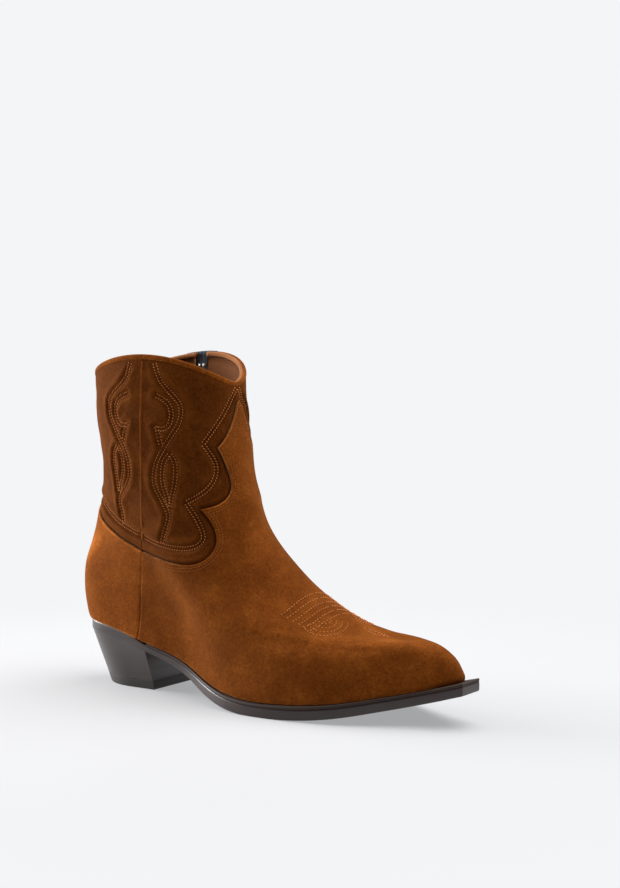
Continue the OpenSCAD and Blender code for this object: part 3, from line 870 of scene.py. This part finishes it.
def make_counter():
    """Cover round the heel, up to the peak at the rear."""
    a = steps(120, (0, .003, .008, .016))
    v = steps(70, (0, .004, .01, .02))
    t = foot_t + (counter_top(a)[None] - foot_t) * v[:, None]
    s = behind(a[None], t, slot(t))
    flat = base(s, t)
    d = COVER_OUT + .16 * waves(flat, 30, 12) * smooth(t / .1)
    # the .05 adds painted light over the whole counter
    wear_and_shade = edge_wear(flat, 3, .19) + .05
    return shell("counter_suede", s, t, d, 0., [SUEDE_COUNTER_LIT, EDGE], round_edge=COVER_ROUND,
                 wear_and_shade=wear_and_shade, replaces=["counter_cover"])


def make_shaft_front():
    """Quilted front of the shaft, running on under the vamp's scallops."""
    p = 2 * steps(165, (0, .0015, .004, .008)) - 1
    v = steps(118, (0, .002, .006, .012))
    low = .80 - .305 * np.sin(np.pi / 2 * np.abs(p))
    t = mix(low[None], top_t, v[:, None])
    s = ahead(p[None], t, slot_w)
    d, wear_and_shade = quilt_relief(s, t)
    return shell("shaft_front_quilted", s, t, d, MID_IN, [SUEDE_SHAFT, EDGE],
                 round_edge=PANEL_ROUND, wear_and_shade=wear_and_shade, replaces=["shaft_front"])


def make_shaft_back():
    """Quilted rear of the shaft, running on under the counter cover."""
    a = steps(165, (0, .0015, .004, .008))
    v = steps(105, (0, .002, .006, .012))
    t = mix(counter_top(a)[None] - .03, top_t, v[:, None])
    s = behind(a[None], t, slot_w)
    d, wear_and_shade = quilt_relief(s, t)
    return shell("shaft_back_quilted", s, t, d, MID_IN, [SUEDE_SHAFT, EDGE],
                 round_edge=PANEL_ROUND, wear_and_shade=wear_and_shade, replaces=["shaft_back"])


def seam_ridge(name, t, half, height, low, node):
    """Low rounded ridge of a folded seam down the outer side."""
    turns = np.linspace(0, np.pi, 9)
    sections = []
    uneven = .12 * np.sin(t * 210) + .08 * np.sin(t * 467)
    for tt, w in zip(t, uneven):
        high = height + w * .5
        row = [skin(-seam_s(tt, -half * math.cos(q)), tt, low + high * math.sin(q)) for q in turns]
        row.append(skin(-seam_s(tt, half * .6), tt, low - .4))
        row.append(skin(-seam_s(tt, -half * .6), tt, low - .4))
        sections.append(row)
    piece = strip(name, np.array(sections)[::-1], [SUEDE], replaces=[node])
    # painted shade: the ridge darker down its flanks and darkest at its foot
    across = np.concatenate([.1 + .4 * np.sin(turns) ** 1.5, [0, 0]])
    set_wear_and_shade(piece, np.tile(across, len(t)))
    return piece


# section of the bound edge, (outward, up): the folded suede, a groove, then the folded lining
BINDING_SECTION = [
    (-.2, -.3), (.12, .1), (.2, 1.2), (.1, 2.2), (-.35, 2.85), (-1.05, 3.05), (-1.7, 2.65),
    (-2.0, 2.15), (-2.3, 2.55), (-3.0, 2.8), (-3.7, 2.3), (-4.1, 1.2), (-4.0, .2), (-3.7, -.1)]


def make_topline():
    """Bound top edge, from one side of the zip's slot round to the other."""
    section = spline(BINDING_SECTION, 3)
    start, end = zip_s(1., slot_w + .4), zip_s(1., -slot_w - .4)
    s = start - np.linspace(0, 1, 260) * (1 - end + start)
    out = facing((s + .5) % 1 - .5, np.full(s.shape, .97))
    flat = unit(out * [1, 1, 0])
    place = base(s, np.full(s.shape, top_t))
    up = np.array([0, 0, 1.])
    rings = place[:, None] + flat[:, None] * section[None, :, :1] + up * (section[None, :, 1:] + .15)
    uneven = waves(rings, 14, 5)[..., None] * .07
    m, n = rings.shape[:2]
    piece = strip("topline_binding_roll", (rings + flat[:, None] * uneven)[::-1],
                  [SUEDE_PLAIN, BINDING], replaces=["topline_binding"])
    lining_from = 19
    sides = [int(i % n >= lining_from) for i in range((m - 1) * n)]
    piece.data.polygons.foreach_set("material_index", sides + [0, 0])
    return piece


def lining_gap(t):
    return mix(.3, slot_w + 1.1, smooth((t - .17) / .05))


def make_linings():
    """Linings of the foot and the shaft, which meet at the ankle, and the grip at the heel.
    The linings' faces are not turned outward: that would light their top edge differently."""
    ankle_t, wide = .476, slot_w + 1.1
    v = np.linspace(0, 1, 44)[:, None]
    p = np.linspace(-1, 1, 111)[None]
    a = np.linspace(0, 1, 91)[None]
    t = mix(.01, ankle_t, v)
    for name, s, node in (
            ("lining_vamp", ahead(np.sign(p) * np.abs(p) ** 1.2, t, lining_gap(t)), "vamp_lining"),
            ("lining_heel", behind(a, t, lining_gap(t)), "heel_lining")):
        shell(name, s, t + 0 * s, LINING_OUT, LINING_IN, [LINING_LOW], turn_out=False,
              replaces=[node])
    t = mix(ankle_t + .006, .984, v)
    for name, s, seed, node in (
            ("lining_shaft_front", ahead(p, t, wide), 8, "shaft_lining_front"),
            ("lining_shaft_back", behind(a, t, wide), 6, "shaft_lining_back")):
        inner = LINING_IN + .12 * waves(base(s, t), 30, seed)
        shell(name, s, t + 0 * s, LINING_OUT, inner, [LINING, EDGE], round_edge=LINING_ROUND,
              turn_out=False, replaces=[node])
    a = np.linspace(0, 1, 41)[None]
    v = np.linspace(0, 1, 31)[:, None]
    s = -(.5 + .09 * (2 * a - 1) * (1 - .25 * v ** 2))
    shell("heel_grip_patch", s, mix(.2, .62, v) + 0 * a, LINING_IN - .3, LINING_IN - 1.05,
          [SUEDE_PLAIN, EDGE], replaces=["heel_grip"])


# ---- sole and heel -----------------------------------------------------------------
def thick(x):
    """Outsole thickness at x, thinner at the seat and the toe."""
    return mix(seat_t, sole_t, smooth((x - 25) / 65)) - .7 * np.clip((x - 160) / 80, 0, 1)


def z_foot(x):
    """Height of the line where the upper meets the sole."""
    return curve(LAST_Z, x)


def z_welt(x):
    return z_foot(x) - welt_t * np.clip((x - 12) / 18, 0, 1)


def z_under(x):
    return z_foot(x) - thick(x)


def foot_y(x, side, m, rear):
    """Edge of the foot line at x, moved out by m; side is -1 out, 1 in."""
    r, f = heel_x - rear, toe_x + m
    u = np.clip((x - r) / (f - r), .0001, .9999)
    wide = ball_out if side < 0 else ball_in
    more = mix(rear, m + (sole_extra if side < 0 and m > 0 else 0), smooth((x - 10) / 80))
    plan = curve(PLAN_OUT if side < 0 else PLAN_IN, u)
    return lean(x) + side * (wide + more) * 2 * np.sqrt(u * (1 - u)) * plan


def sole_y(x, side, tip_0=210):
    """Edge of the sole at x, running on to the square tip."""
    x = np.asarray(x, float)
    f = np.clip((x - tip_0) / (tip_x - tip_0), 0, 1)
    g = 1 - f
    y0 = foot_y(tip_0, side, sole_edge, 1)
    m = (y0 - foot_y(tip_0 - 4, side, sole_edge, 1)) / 4 * (tip_x - tip_0)
    tip = (y0 * (1 + 2 * f) * g * g + m * f * g * g + (tip_c + side * tip_w / 2) * f * f * (3 - 2 * f)
           + side * .3 * (tip_x - tip_0) * f * f * g)
    return np.where(x <= tip_0, foot_y(x, side, sole_edge, 1), tip)


def outline(xs, y_of):
    """Closed plan outline: the outer side from rear to front, then the inner side back."""
    return np.concatenate([np.stack([xs, y_of(xs, -1)], 1), np.stack([xs, y_of(xs, 1)], 1)[::-1]])


def inset(loop, e):
    """A plan outline moved inward."""
    way = unit(np.roll(loop, -1, 0) - np.roll(loop, 1, 0))
    return loop + np.stack([-way[:, 1], way[:, 0]], 1) * np.broadcast_to(e, len(loop))[:, None]


def loft(name, loops, materials, **how):
    """Solid through closed loops from the lowest up, with ladder caps at both ends."""
    n = len(loops[0])
    faces = band_faces(len(loops), n)
    top = (len(loops) - 1) * n
    for i in range(n // 2 - 1):
        j = n - 1 - i
        faces.append((i, j, j - 1, i + 1))
        faces.append((top + i, top + i + 1, top + j - 1, top + j))
    return new_piece(name, np.concatenate(loops), faces, materials, **how)


def at_height(loop, z):
    return np.concatenate([loop, np.reshape(z, (-1, 1))], 1)


def round_xs(x0, x1, count):
    """Stations crowded near the round rear end."""
    f = np.linspace(0, 1, count)
    return x0 + (x1 - x0) * (f * f * .55 + f * .45) + .02 * (1 - f)


def make_outsole():
    """Outsole; each row of its edge is (how far in, 1 if measured from its top, how far up)."""
    rear = heel_x - 1
    xs = round_xs(rear, tip_x, 170)
    loop = outline(xs, sole_y)
    rows = [(1.6, 0, .0), (.7, 0, .05), (.25, 0, .35), (.04, 0, 1.0), (0, 0, 2.2), (0, 1, -.9),
            (.02, 1, -.55), (.16, 1, -.3), (.2, 1, -.12), (.35, 1, 0), (1.6, 1, 0)]
    loops = []
    fore = smooth((loop[:, 0] - 15) / 25)
    for e, upper, dz in rows:
        ring_xy = inset(loop, e if upper or e > 1 else e * fore)
        x = ring_xy[:, 0]
        loops.append(at_height(ring_xy, (z_welt(x) if upper else z_under(x)) + dz))
    piece = loft("outsole_edge", loops, [SOLE, LEDGE_SHADE], sharp=50, replaces=["outsole"])
    # the top rows take the painted-shade ledge leather
    bands = (np.arange(len(piece.data.polygons)) // len(loop)) >= len(rows) - 3
    piece.data.polygons.foreach_set("material_index", bands.astype(int).tolist())


def make_welt():
    """Welt round the forefoot, its top a little rounded, with a groove for the stitches."""
    xs = np.concatenate([np.arange(24, 210, 2.), np.linspace(210, tip_x, 26)])
    loop = outline(xs, sole_y)
    inner = 7.5
    profile = [(.25, 0, .05), (0, 0, .5), (.05, 1, -.45), (.4, 1, -.1), (1.0, 1, .0),
               (1.35, 1, -.28), (1.75, 1, -.28), (2.1, 1, .0), (2.8, 1, .02),
               (inner, 1, -.05), (inner, 0, .05)]
    sections = []
    for e, upper, dz in profile:
        narrow = np.minimum(e, np.abs(loop[:, 1] - lean(loop[:, 0]) - .6) * .8)
        xy = inset(loop, narrow)
        xy[:, 0] = np.minimum(xy[:, 0], tip_x - e)
        x = xy[:, 0]
        sections.append(at_height(xy, (z_foot(x) - .02 if upper else z_welt(x)) + dz))
    strip("welt_strip", np.array(sections).swapaxes(0, 1)[::-1], [WELT], sharp=50,
          replaces=["welt"])


def heel_w(v):
    """Half width of the heel's foot, from its round rear (v 0) to its flat breast (v 1)."""
    return heel_half_w * np.sqrt(1 - (1 - np.minimum(v / .62, 1)) ** 2.2)


def heel_loop(h, low_z=lift_t):
    """Heel outline at a share h of its height."""
    f = np.linspace(0, 1, 64)
    v = f * f * .6 + f * .4 + .0004 * (1 - f)
    x = heel_x - 1 + v * (23.4 - heel_x + 1)
    b = mix(heel_rear_x, breast_x, v)
    rows = []
    for side in (-1, 1):
        seat = np.stack([x, sole_y(x, side) - side * .05, z_under(x)], 1)
        foot = np.stack([b, side * heel_w(v), np.full(len(v), float(low_z))], 1)
        rows.append(mix(foot, seat, h))
    return np.concatenate([rows[0], rows[1][::-1]])


# rows of (share of the height, inset) and of (z, inset)
HEEL_ROWS = [(0, .9), (0, .06), (.006, 0)] + [(k / 10, 0) for k in range(1, 10)] + [(1, 0), (1, .9)]
LIFT_ROWS = [(0, 1.2), (0, .5), (.12, .2), (.5, .02), (1.2, 0), (3, 0), (lift_t - .3, 0),
             (lift_t - .1, .06), (lift_t - .1, 1.2)]


def make_heel():
    """Heel block and its top lift, with eased edges."""
    block = [at_height(inset(loop[:, :2], e), loop[:, 2])
             for loop, e in ((heel_loop(share), e) for share, e in HEEL_ROWS)]
    loft("heel_stack", block, [HEEL], sharp=40, replaces=["heel_block"])
    lift = [at_height(inset(heel_loop((z - lift_t) / 33)[:, :2], e), np.full(128, z))
            for z, e in LIFT_ROWS]
    loft("top_lift_rubber_piece", lift, [TREAD], sharp=40, replaces=["top_lift"])


def make_sock():
    """Padded sock lining: crowned between its edges."""
    xs = round_xs(heel_x + 6.4, toe_x - 6.7, 90)
    across = np.linspace(-1, 1, 25)
    board_t = 2.2
    lo, hi = foot_y(xs, -1, -6.4, -6.2), foot_y(xs, 1, -6.4, -6.2)
    y = mix(lo[:, None], hi[:, None], (across[None] + 1) / 2)
    rim = np.sqrt(np.maximum(1 - np.abs(across) ** 6, 0))[None]
    full = mix(3, 1.4, smooth((xs - 10) / 50))[:, None]
    ends = np.clip(np.minimum(xs - xs[0], xs[-1] - xs) / 2.5, 0, 1)[:, None] ** .5
    z0 = (z_foot(xs) + board_t)[:, None] + 0 * y
    z1 = z0 + .12 + (full - .12) * rim * ends
    x = xs[:, None] + 0 * y
    piece = closed("sock_pad", np.stack([x, y, z1], -1), np.stack([x, y, z0 + .02], -1), [SOCK],
                   flip=False, replaces=["sock_lining"])


# ---- zip ------------------------------------------------------------------------
zip_turn = math.atan(zip_slope)
ZIP_UP = np.array([0, math.sin(zip_turn), math.cos(zip_turn)])
ZIP_OUT = np.array([0, math.cos(zip_turn), -math.sin(zip_turn)])
ZIP_AT = np.array([zip_x, zip_y0, zip_z0])


def at_zip(p, z=0.):
    """Points given as across, outward and up the zip, in the boot's frame."""
    p = np.asarray(p, float)
    return ZIP_AT + p[..., :1] * [1, 0, 0] + p[..., 1:2] * ZIP_OUT + (p[..., 2:] + z) * ZIP_UP


def make_tape():
    """Two halves of woven tape, from the teeth to under the lining's edge."""
    for side, end in ((1, "front"), (-1, "back")):
        t = np.linspace(.235, .99573, 93)[:, None]
        w = np.linspace(0, 1, 16)[None]
        dx = side * mix(.04, 12.6, w)
        s = round_at(zip_x + dx, t + 0 * w)
        if side > 0:
            s = s[:, ::-1]
        d = TAPE_OUT + .08 * waves(base(s, t + 0 * w), 16, 7)
        bead = .28 * np.exp(-((np.abs(dx) - 1.2) / .6) ** 2)
        bead = bead[:, ::-1] if side > 0 else bead
        shell("tape_" + end, s, t + 0 * w, d + bead, d - .55 - bead, [TAPE],
              replaces=["zip_tape_" + end])


def rounded_block(size, bevel, seg=2):
    """Points and faces of a box with rounded edges, about its centre."""
    bm = bmesh.new()
    bmesh.ops.create_cube(bm, size=1)
    bmesh.ops.scale(bm, vec=size, verts=bm.verts)
    bmesh.ops.bevel(bm, geom=bm.edges[:], offset=bevel, segments=seg, profile=.5, affect="EDGES")
    bm.verts.index_update()
    points = np.array([v.co[:] for v in bm.verts])
    faces = [tuple(v.index for v in f.verts) for f in bm.faces]
    bm.free()
    return points, faces


def gather(parts):
    """Several (points, faces) as one."""
    points, faces, n = [], [], 0
    for p, f in parts:
        points.append(p)
        faces += [tuple(i + n for i in face) for face in f]
        n += len(p)
    return np.concatenate(points), faces


def moved(shape, *by):
    """(points, faces) moved by across, outward and up."""
    return shape[0] + list(by), shape[1]


def make_teeth():
    """Two rows of teeth with their nibs, the bottom stop and the two top stops."""
    ends = ((1, "front"), (-1, "back"))
    tooth = rounded_block((2.9, 1.9, 1.45), .3)
    nib = rounded_block((.9, 1.1, .75), .25)
    for side, end in ends:
        parts = []
        for i in range(int(zip_len / tooth_pitch)):
            z = (i + (.28 if side > 0 else .78)) * tooth_pitch
            apart = side * 1.1 * smooth((z - zip_len + 9) / 7)
            for shape, x in ((tooth, side * 1.25), (nib, -side * .45)):
                points, faces = moved(shape, x + apart, -2.0, 0)
                parts.append((at_zip(points, z), faces))
        new_piece("teeth_" + end, *gather(parts), [STEEL], replaces=["zip_teeth_" + end])
    points, faces = moved(rounded_block((5.2, 2.2, 3.3), .5), 0, -2.05, -3.3)
    new_piece("bottom_stop", at_zip(points), faces, [STEEL], replaces=["zip_bottom_stop"])
    top = rounded_block((1.9, 2.0, 2.1), .35)
    for side, end in ends:
        points, faces = moved(top, side * 1.75, -2.05, zip_len + 1.9)
        new_piece("top_stop_" + end, at_zip(points), faces, [STEEL],
                  replaces=["zip_top_stop_" + end])


def plate(outline_xz, y0, y1, bevel):
    """Flat plate with an eased edge from an outline of (across, up)."""
    loop = np.array(outline_xz, float)
    centre = loop.mean(0)
    rows = []
    for y, e in ((y0, bevel), (y0 + bevel, 0), (y1 - bevel, 0), (y1, bevel)):
        away = loop - centre
        shrunk = loop - unit(away) * e
        rows.append(np.stack([shrunk[:, 0], np.full(len(loop), y), shrunk[:, 1]], 1))
    n = len(loop)
    ends = [tuple(range(n - 1, -1, -1)), tuple(3 * n + i for i in range(n))]
    return np.concatenate(rows), band_faces(4, n) + ends


def signed_power(v, power):
    return np.sign(v) * np.abs(v) ** power


def circle(count):
    return np.linspace(0, 2 * math.pi, count, endpoint=False)


PIN_OUT, PIN_R = 2.2, .5


def make_slider(z):
    """Slider: two plates joined by a post, side guides, and the ears that hold the pull."""
    q = circle(48)
    half_w = 3.0 + .5 * smooth(np.sin(q) + .2)
    wide = np.stack([signed_power(np.cos(q), .55) * half_w, signed_power(np.sin(q), .6) * 5.4], 1)
    parts = [plate(wide, -.65, .45, .3), plate(wide, -4.5, -3.4, .3),
             moved(rounded_block((.8, 3.3, 3), .15), 0, -2, 3.5)]
    guide, ear = rounded_block((.6, 1.0, 7.6), .2), rounded_block((.7, 2.9, 2.3), .3)
    low_guide = (guide[0] * [1, .7, 1], guide[1])
    for side in (-1, 1):
        parts += [moved(guide, side * 3.2, -.95, 0), moved(low_guide, side * 3.2, -3.35, 0),
                  moved(ear, side * 2.05, 1.75, 0)]
    n = 16
    pin = np.array([[x, PIN_OUT + PIN_R * math.cos(q), PIN_R * math.sin(q)]
                    for x in (-2.3, 2.3) for q in circle(n)])
    parts.append((pin, band_faces(2, n) + [tuple(range(n - 1, -1, -1)), tuple(range(n, 2 * n))]))
    points, faces = gather(parts)
    new_piece("slider_body", at_zip(points, z), faces, [STEEL], body="slider", sharp=45,
              replaces=["zip_slider"])


def make_pull(z, length=15):
    """Pull: an eye round the pin, a neck, and a tapered tab with a hole."""
    n = 24
    section = ((-1.5, 1.05), (-1.3, 1.3), (1.3, 1.3), (1.5, 1.05), (1.5, .66), (-1.5, .66))
    eye = np.array([[x, PIN_OUT + r * math.cos(q), r * math.sin(q)]
                    for x, r in section for q in circle(n)])
    parts = [(eye, band_faces(6, n, closed=True)),
             moved(rounded_block((2.8, 1.0, 3.2), .25), 0, PIN_OUT, -2.55)]
    n = 40
    q = circle(n)
    middle, half = -(length + 3.2) / 2, (length - 3.2) / 2
    tab = np.stack([signed_power(np.cos(q), .6) * (2.1 - .4 * np.sin(q)),
                    middle + signed_power(np.sin(q), .7) * half], 1)
    hole = np.stack([1.2 * np.cos(q), 3 - length + 1.2 * np.sin(q)], 1)
    narrow = tab * [.9, 1]
    section = ((hole, 1.65), (narrow, 1.65), (tab, 1.85), (tab, 2.55), (narrow, 2.75), (hole, 2.75))
    rows = [np.stack([loop[:, 0], np.full(n, y), loop[:, 1]], 1) for loop, y in section]
    parts.append((np.concatenate(rows), band_faces(6, n, closed=True)))
    points, faces = gather(parts)
    new_piece("pull_tab", at_zip(points, z), faces, [STEEL], body="puller", sharp=45,
              replaces=["zip_pull"])


# ---- camera, light and floor -------------------------------------------------
def make_camera():
    """The camera stands off the toe on the outer side, a little above the boot."""
    data = bpy.data.cameras.new("camera")
    data.lens = 77.5
    data.sensor_width = 36
    data.clip_end = 100
    camera = in_scene("camera", data)
    camera.location = (0.79559, -0.95733, 0.25409)
    camera.rotation_euler = Euler((math.radians(90 - 4.56), 0, math.radians(34.83)))
    bpy.context.scene.camera = camera


def area_light(name, place, aim, size, power, colour=(1, 1, 1)):
    data = bpy.data.lights.new(name, "AREA")
    data.shape = "RECTANGLE"
    data.size, data.size_y = size
    data.energy = power
    data.color = colour
    lamp = in_scene(name, data)
    lamp.location = place
    lamp.rotation_euler = (Vector(aim) - Vector(place)).to_track_quat("-Z", "Y").to_euler()


PALE = (0.905, 0.913, 0.93)
FLOOR, FLOOR_BOUNCE = (0.525, 0.53, 0.545), 0.3


# light from the world: its least, then direction, cosines where it starts and is full, strength
WORLD_LEAST = .03
WORLD_LIGHT = [((0, 0, 1), .5, 1, .5), ((-1, 0, .3), .4, .95, .9), ((.8, .6, .35), .5, .95, .35)]


def make_world():
    """Plain pale backdrop; as light it is brightest from above and behind, dim from the camera's side."""
    world = bpy.data.worlds.new("studio")
    bpy.context.scene.world = world
    world.use_nodes = True
    tree = Nodes(world.node_tree)
    direction = tree.add("TexCoord").outputs["Generated"]
    total = WORLD_LEAST
    for way, low, high, strength in WORLD_LIGHT:
        dot = tree.add("VectorMath", {0: direction, 1: Vector(way).normalized()},
                       operation="DOT_PRODUCT").outputs["Value"]
        ins = {"Value": dot, "From Min": low, "From Max": high, "To Min": 0, "To Max": strength}
        part = tree.add("MapRange", ins, interpolation_type="SMOOTHSTEP").outputs["Result"]
        total = tree.add("Math", {0: total, 1: part}).outputs[0]
    lit, seen = tree.nodes["Background"], tree.add("Background", {"Color": (*PALE, 1)})
    lit.inputs["Color"].default_value = (1, .985, .965, 1)
    tree.links.new(total, lit.inputs["Strength"])
    to_camera = tree.add("LightPath").outputs["Is Camera Ray"]
    both = tree.add("MixShader", {0: to_camera, 1: lit.outputs[0], 2: seen.outputs[0]})
    tree.links.new(both.outputs[0], tree.nodes["World Output"].inputs["Surface"])


def make_floor():
    """Pale floor: it takes shadows near the boot and turns into the backdrop's colour far away."""
    rings, spokes = 40, 96
    verts, faces = [(0, 0, 0)], []
    for i in range(1, rings + 1):
        r = 0.05 * 1.2 ** i
        verts += [(r * math.cos(a), r * math.sin(a), 0)
                  for a in (2 * math.pi * k / spokes for k in range(spokes))]
    faces += [(0, 1 + k, 1 + (k + 1) % spokes) for k in range(spokes)]
    for i in range(rings - 1):
        a, b = 1 + i * spokes, 1 + (i + 1) * spokes
        faces += [(a + k, b + k, b + (k + 1) % spokes, a + (k + 1) % spokes) for k in range(spokes)]
    mesh = bpy.data.meshes.new("floor")
    mesh.from_pydata(verts, [], faces)
    floor = in_scene("floor", mesh)
    tree = Tree("floor", .6)
    bounce = tree.add("LightPath").outputs["Is Diffuse Ray"]
    tree.colour(tree.blend(bounce, (*FLOOR, 1), (*[FLOOR_BOUNCE] * 3, 1)))
    glow = tree.add("Emission", {"Color": (*PALE, 1)})
    away = tree.add("VectorMath", {0: tree.place, 1: (.1, 0, 0)}, operation="DISTANCE")
    ins = {"Value": away.outputs["Value"], "From Min": .17, "From Max": .42, "To Min": .4}
    fade = tree.add("MapRange", ins, interpolation_type="SMOOTHSTEP")
    both = tree.add("MixShader", {0: fade.outputs["Result"], 1: tree.shader.outputs[0], 2: glow.outputs[0]})
    tree.links.new(both.outputs[0], tree.nodes["Material Output"].inputs["Surface"])
    mesh.materials.append(tree.material)


# ---- toe stitching, drawn from above in mm ---------------------------------------
def medallion_lines():
    """Plan lines (x, y) for one half; the other half mirrors across the middle of the toe."""
    lines = []
    for k in range(6):
        x = 128 + 4 * k
        row = [(x, -29 + .3 * k), (x + 2.2, -22), (x + 3.6, -14), (x + 4.2, -7), (x + 4.4, -1.2)]
        lines.append(spline(row, 6))
    for r in (14.4, 11.0, 7.6, 4.2):
        q = np.radians(np.linspace(-118, 42, 30))
        lines.append(np.stack([149.5 + r * np.cos(q), -14 + r * np.sin(q)], 1))
    for w, a, b in ((3.3, 169, 187), (1.7, 172.5, 184)):
        x = np.linspace(a, b, 20)
        lines.append(np.stack([x, -w * np.sin(np.pi * (x - a) / (b - a))], 1))
    return lines


def plan_paths(lines):
    """The lines on both halves of the toe, as points above it."""
    paths = []
    for line in lines:
        for side in (1, -1):
            y = lean(line[:, 0]) + side * line[:, 1]
            p = np.stack([line[:, 0], y, np.full(len(line), 66.)], 1)
            paths.append(p)
    return paths


def drop_on(paths, target):
    """Paths seen from above, laid on a mesh: (points, outward)."""
    tree = bvh(target)
    out = []
    for path in paths:
        points, ups = [], []
        for p in path:
            place, normal, _, _ = tree.ray_cast(Vector((p[0] * MM, p[1] * MM, .3)), Vector((0, 0, -1)))
            if place is not None:
                points.append(np.array(place) / MM)
                ups.append(np.array(normal))
        if len(points) > 2:
            out.append((np.array(points), np.array(ups)))
    return out


def near_opening(p):
    """True within the side seam or the zip's slot, where no stitch goes."""
    if p[1] > 0:
        return abs(p[0] - zip_x) < slot_w + 1.2 and p[2] > 68
    seam_here = seam_x + seam_slant * np.clip((p[2] - 40) / 170, 0, 1)
    return abs(p[0] - seam_here) < 1.7


vamp = make_vamp()
counter = make_counter()
front, back = make_shaft_front(), make_shaft_back()
seam_ridge("side_seam_ridge", np.linspace(cross_t + .008, .984, 170), half=1.2, height=.55,
           low=MID_OUT, node="shaft_seam_piping")
seam_ridge("quarter_seam_ridge", np.linspace(.012, cross_t + .004, 120), half=.8, height=.3,
           low=COVER_OUT - .5, node="quarter_seam_piping")
make_topline()
make_linings()
make_outsole()
make_welt()
make_heel()
make_sock()
make_tape()
make_teeth()
slider_z = zip_len - 8
make_slider(slider_z)
make_pull(slider_z)

shaft_and_covers = [front, back, vamp, counter]
for name, rows, slant in (("quilt_stitches", QUILT, .5), ("border_stitches", QUILT_BORDER, .6)):
    stitches(name, on_surface(rows), shaft_and_covers, THREAD, pitch=1.8, length=1.35, thick=.3,
             slant=slant, skip=near_opening)
edge_rows = [aside(path, d) for path in COVER_EDGES
             for d in ((-2.2, -3.9) if path[0][0] < 0 else (2.2, 3.9))]
stitches("edge_stitches", on_surface(edge_rows), [vamp, counter], THREAD_TONE, pitch=1.8,
         length=1.2, thick=.2, skip=near_opening)
stitches("toe_stitches", drop_on(plan_paths(medallion_lines()), vamp), [vamp], THREAD, pitch=2.15,
         length=1.2, thick=.38)

STIFFENER = board("stiffener", (.50, .45, .36), (.64, .58, .48))
INNER_FINISHES = {
    "shank": STEEL, "toe_puff": STIFFENER, "heel_counter": STIFFENER,
    "bottom_filler": board("cork_filler", (.20, .12, .06), (.36, .23, .12)),
    "insole_board": board("insole_fibre", (.34, .26, .16), (.50, .40, .27))}
for name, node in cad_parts.items():
    node.data.materials.clear()
    node.data.materials.append(INNER_FINISHES.get(name, SOLE))

make_camera()
make_world()
make_floor()
area_light("key_left", (-1.25, -0.2, 0.45), (0, 0, 0.1), (0.8, 0.7), 30)
area_light("key_top", (0.35, 0.35, 1.15), (0.17, 0, 0.06), (1.3, 1.1), 20)
bpy.context.scene.view_settings.view_transform = "Standard"
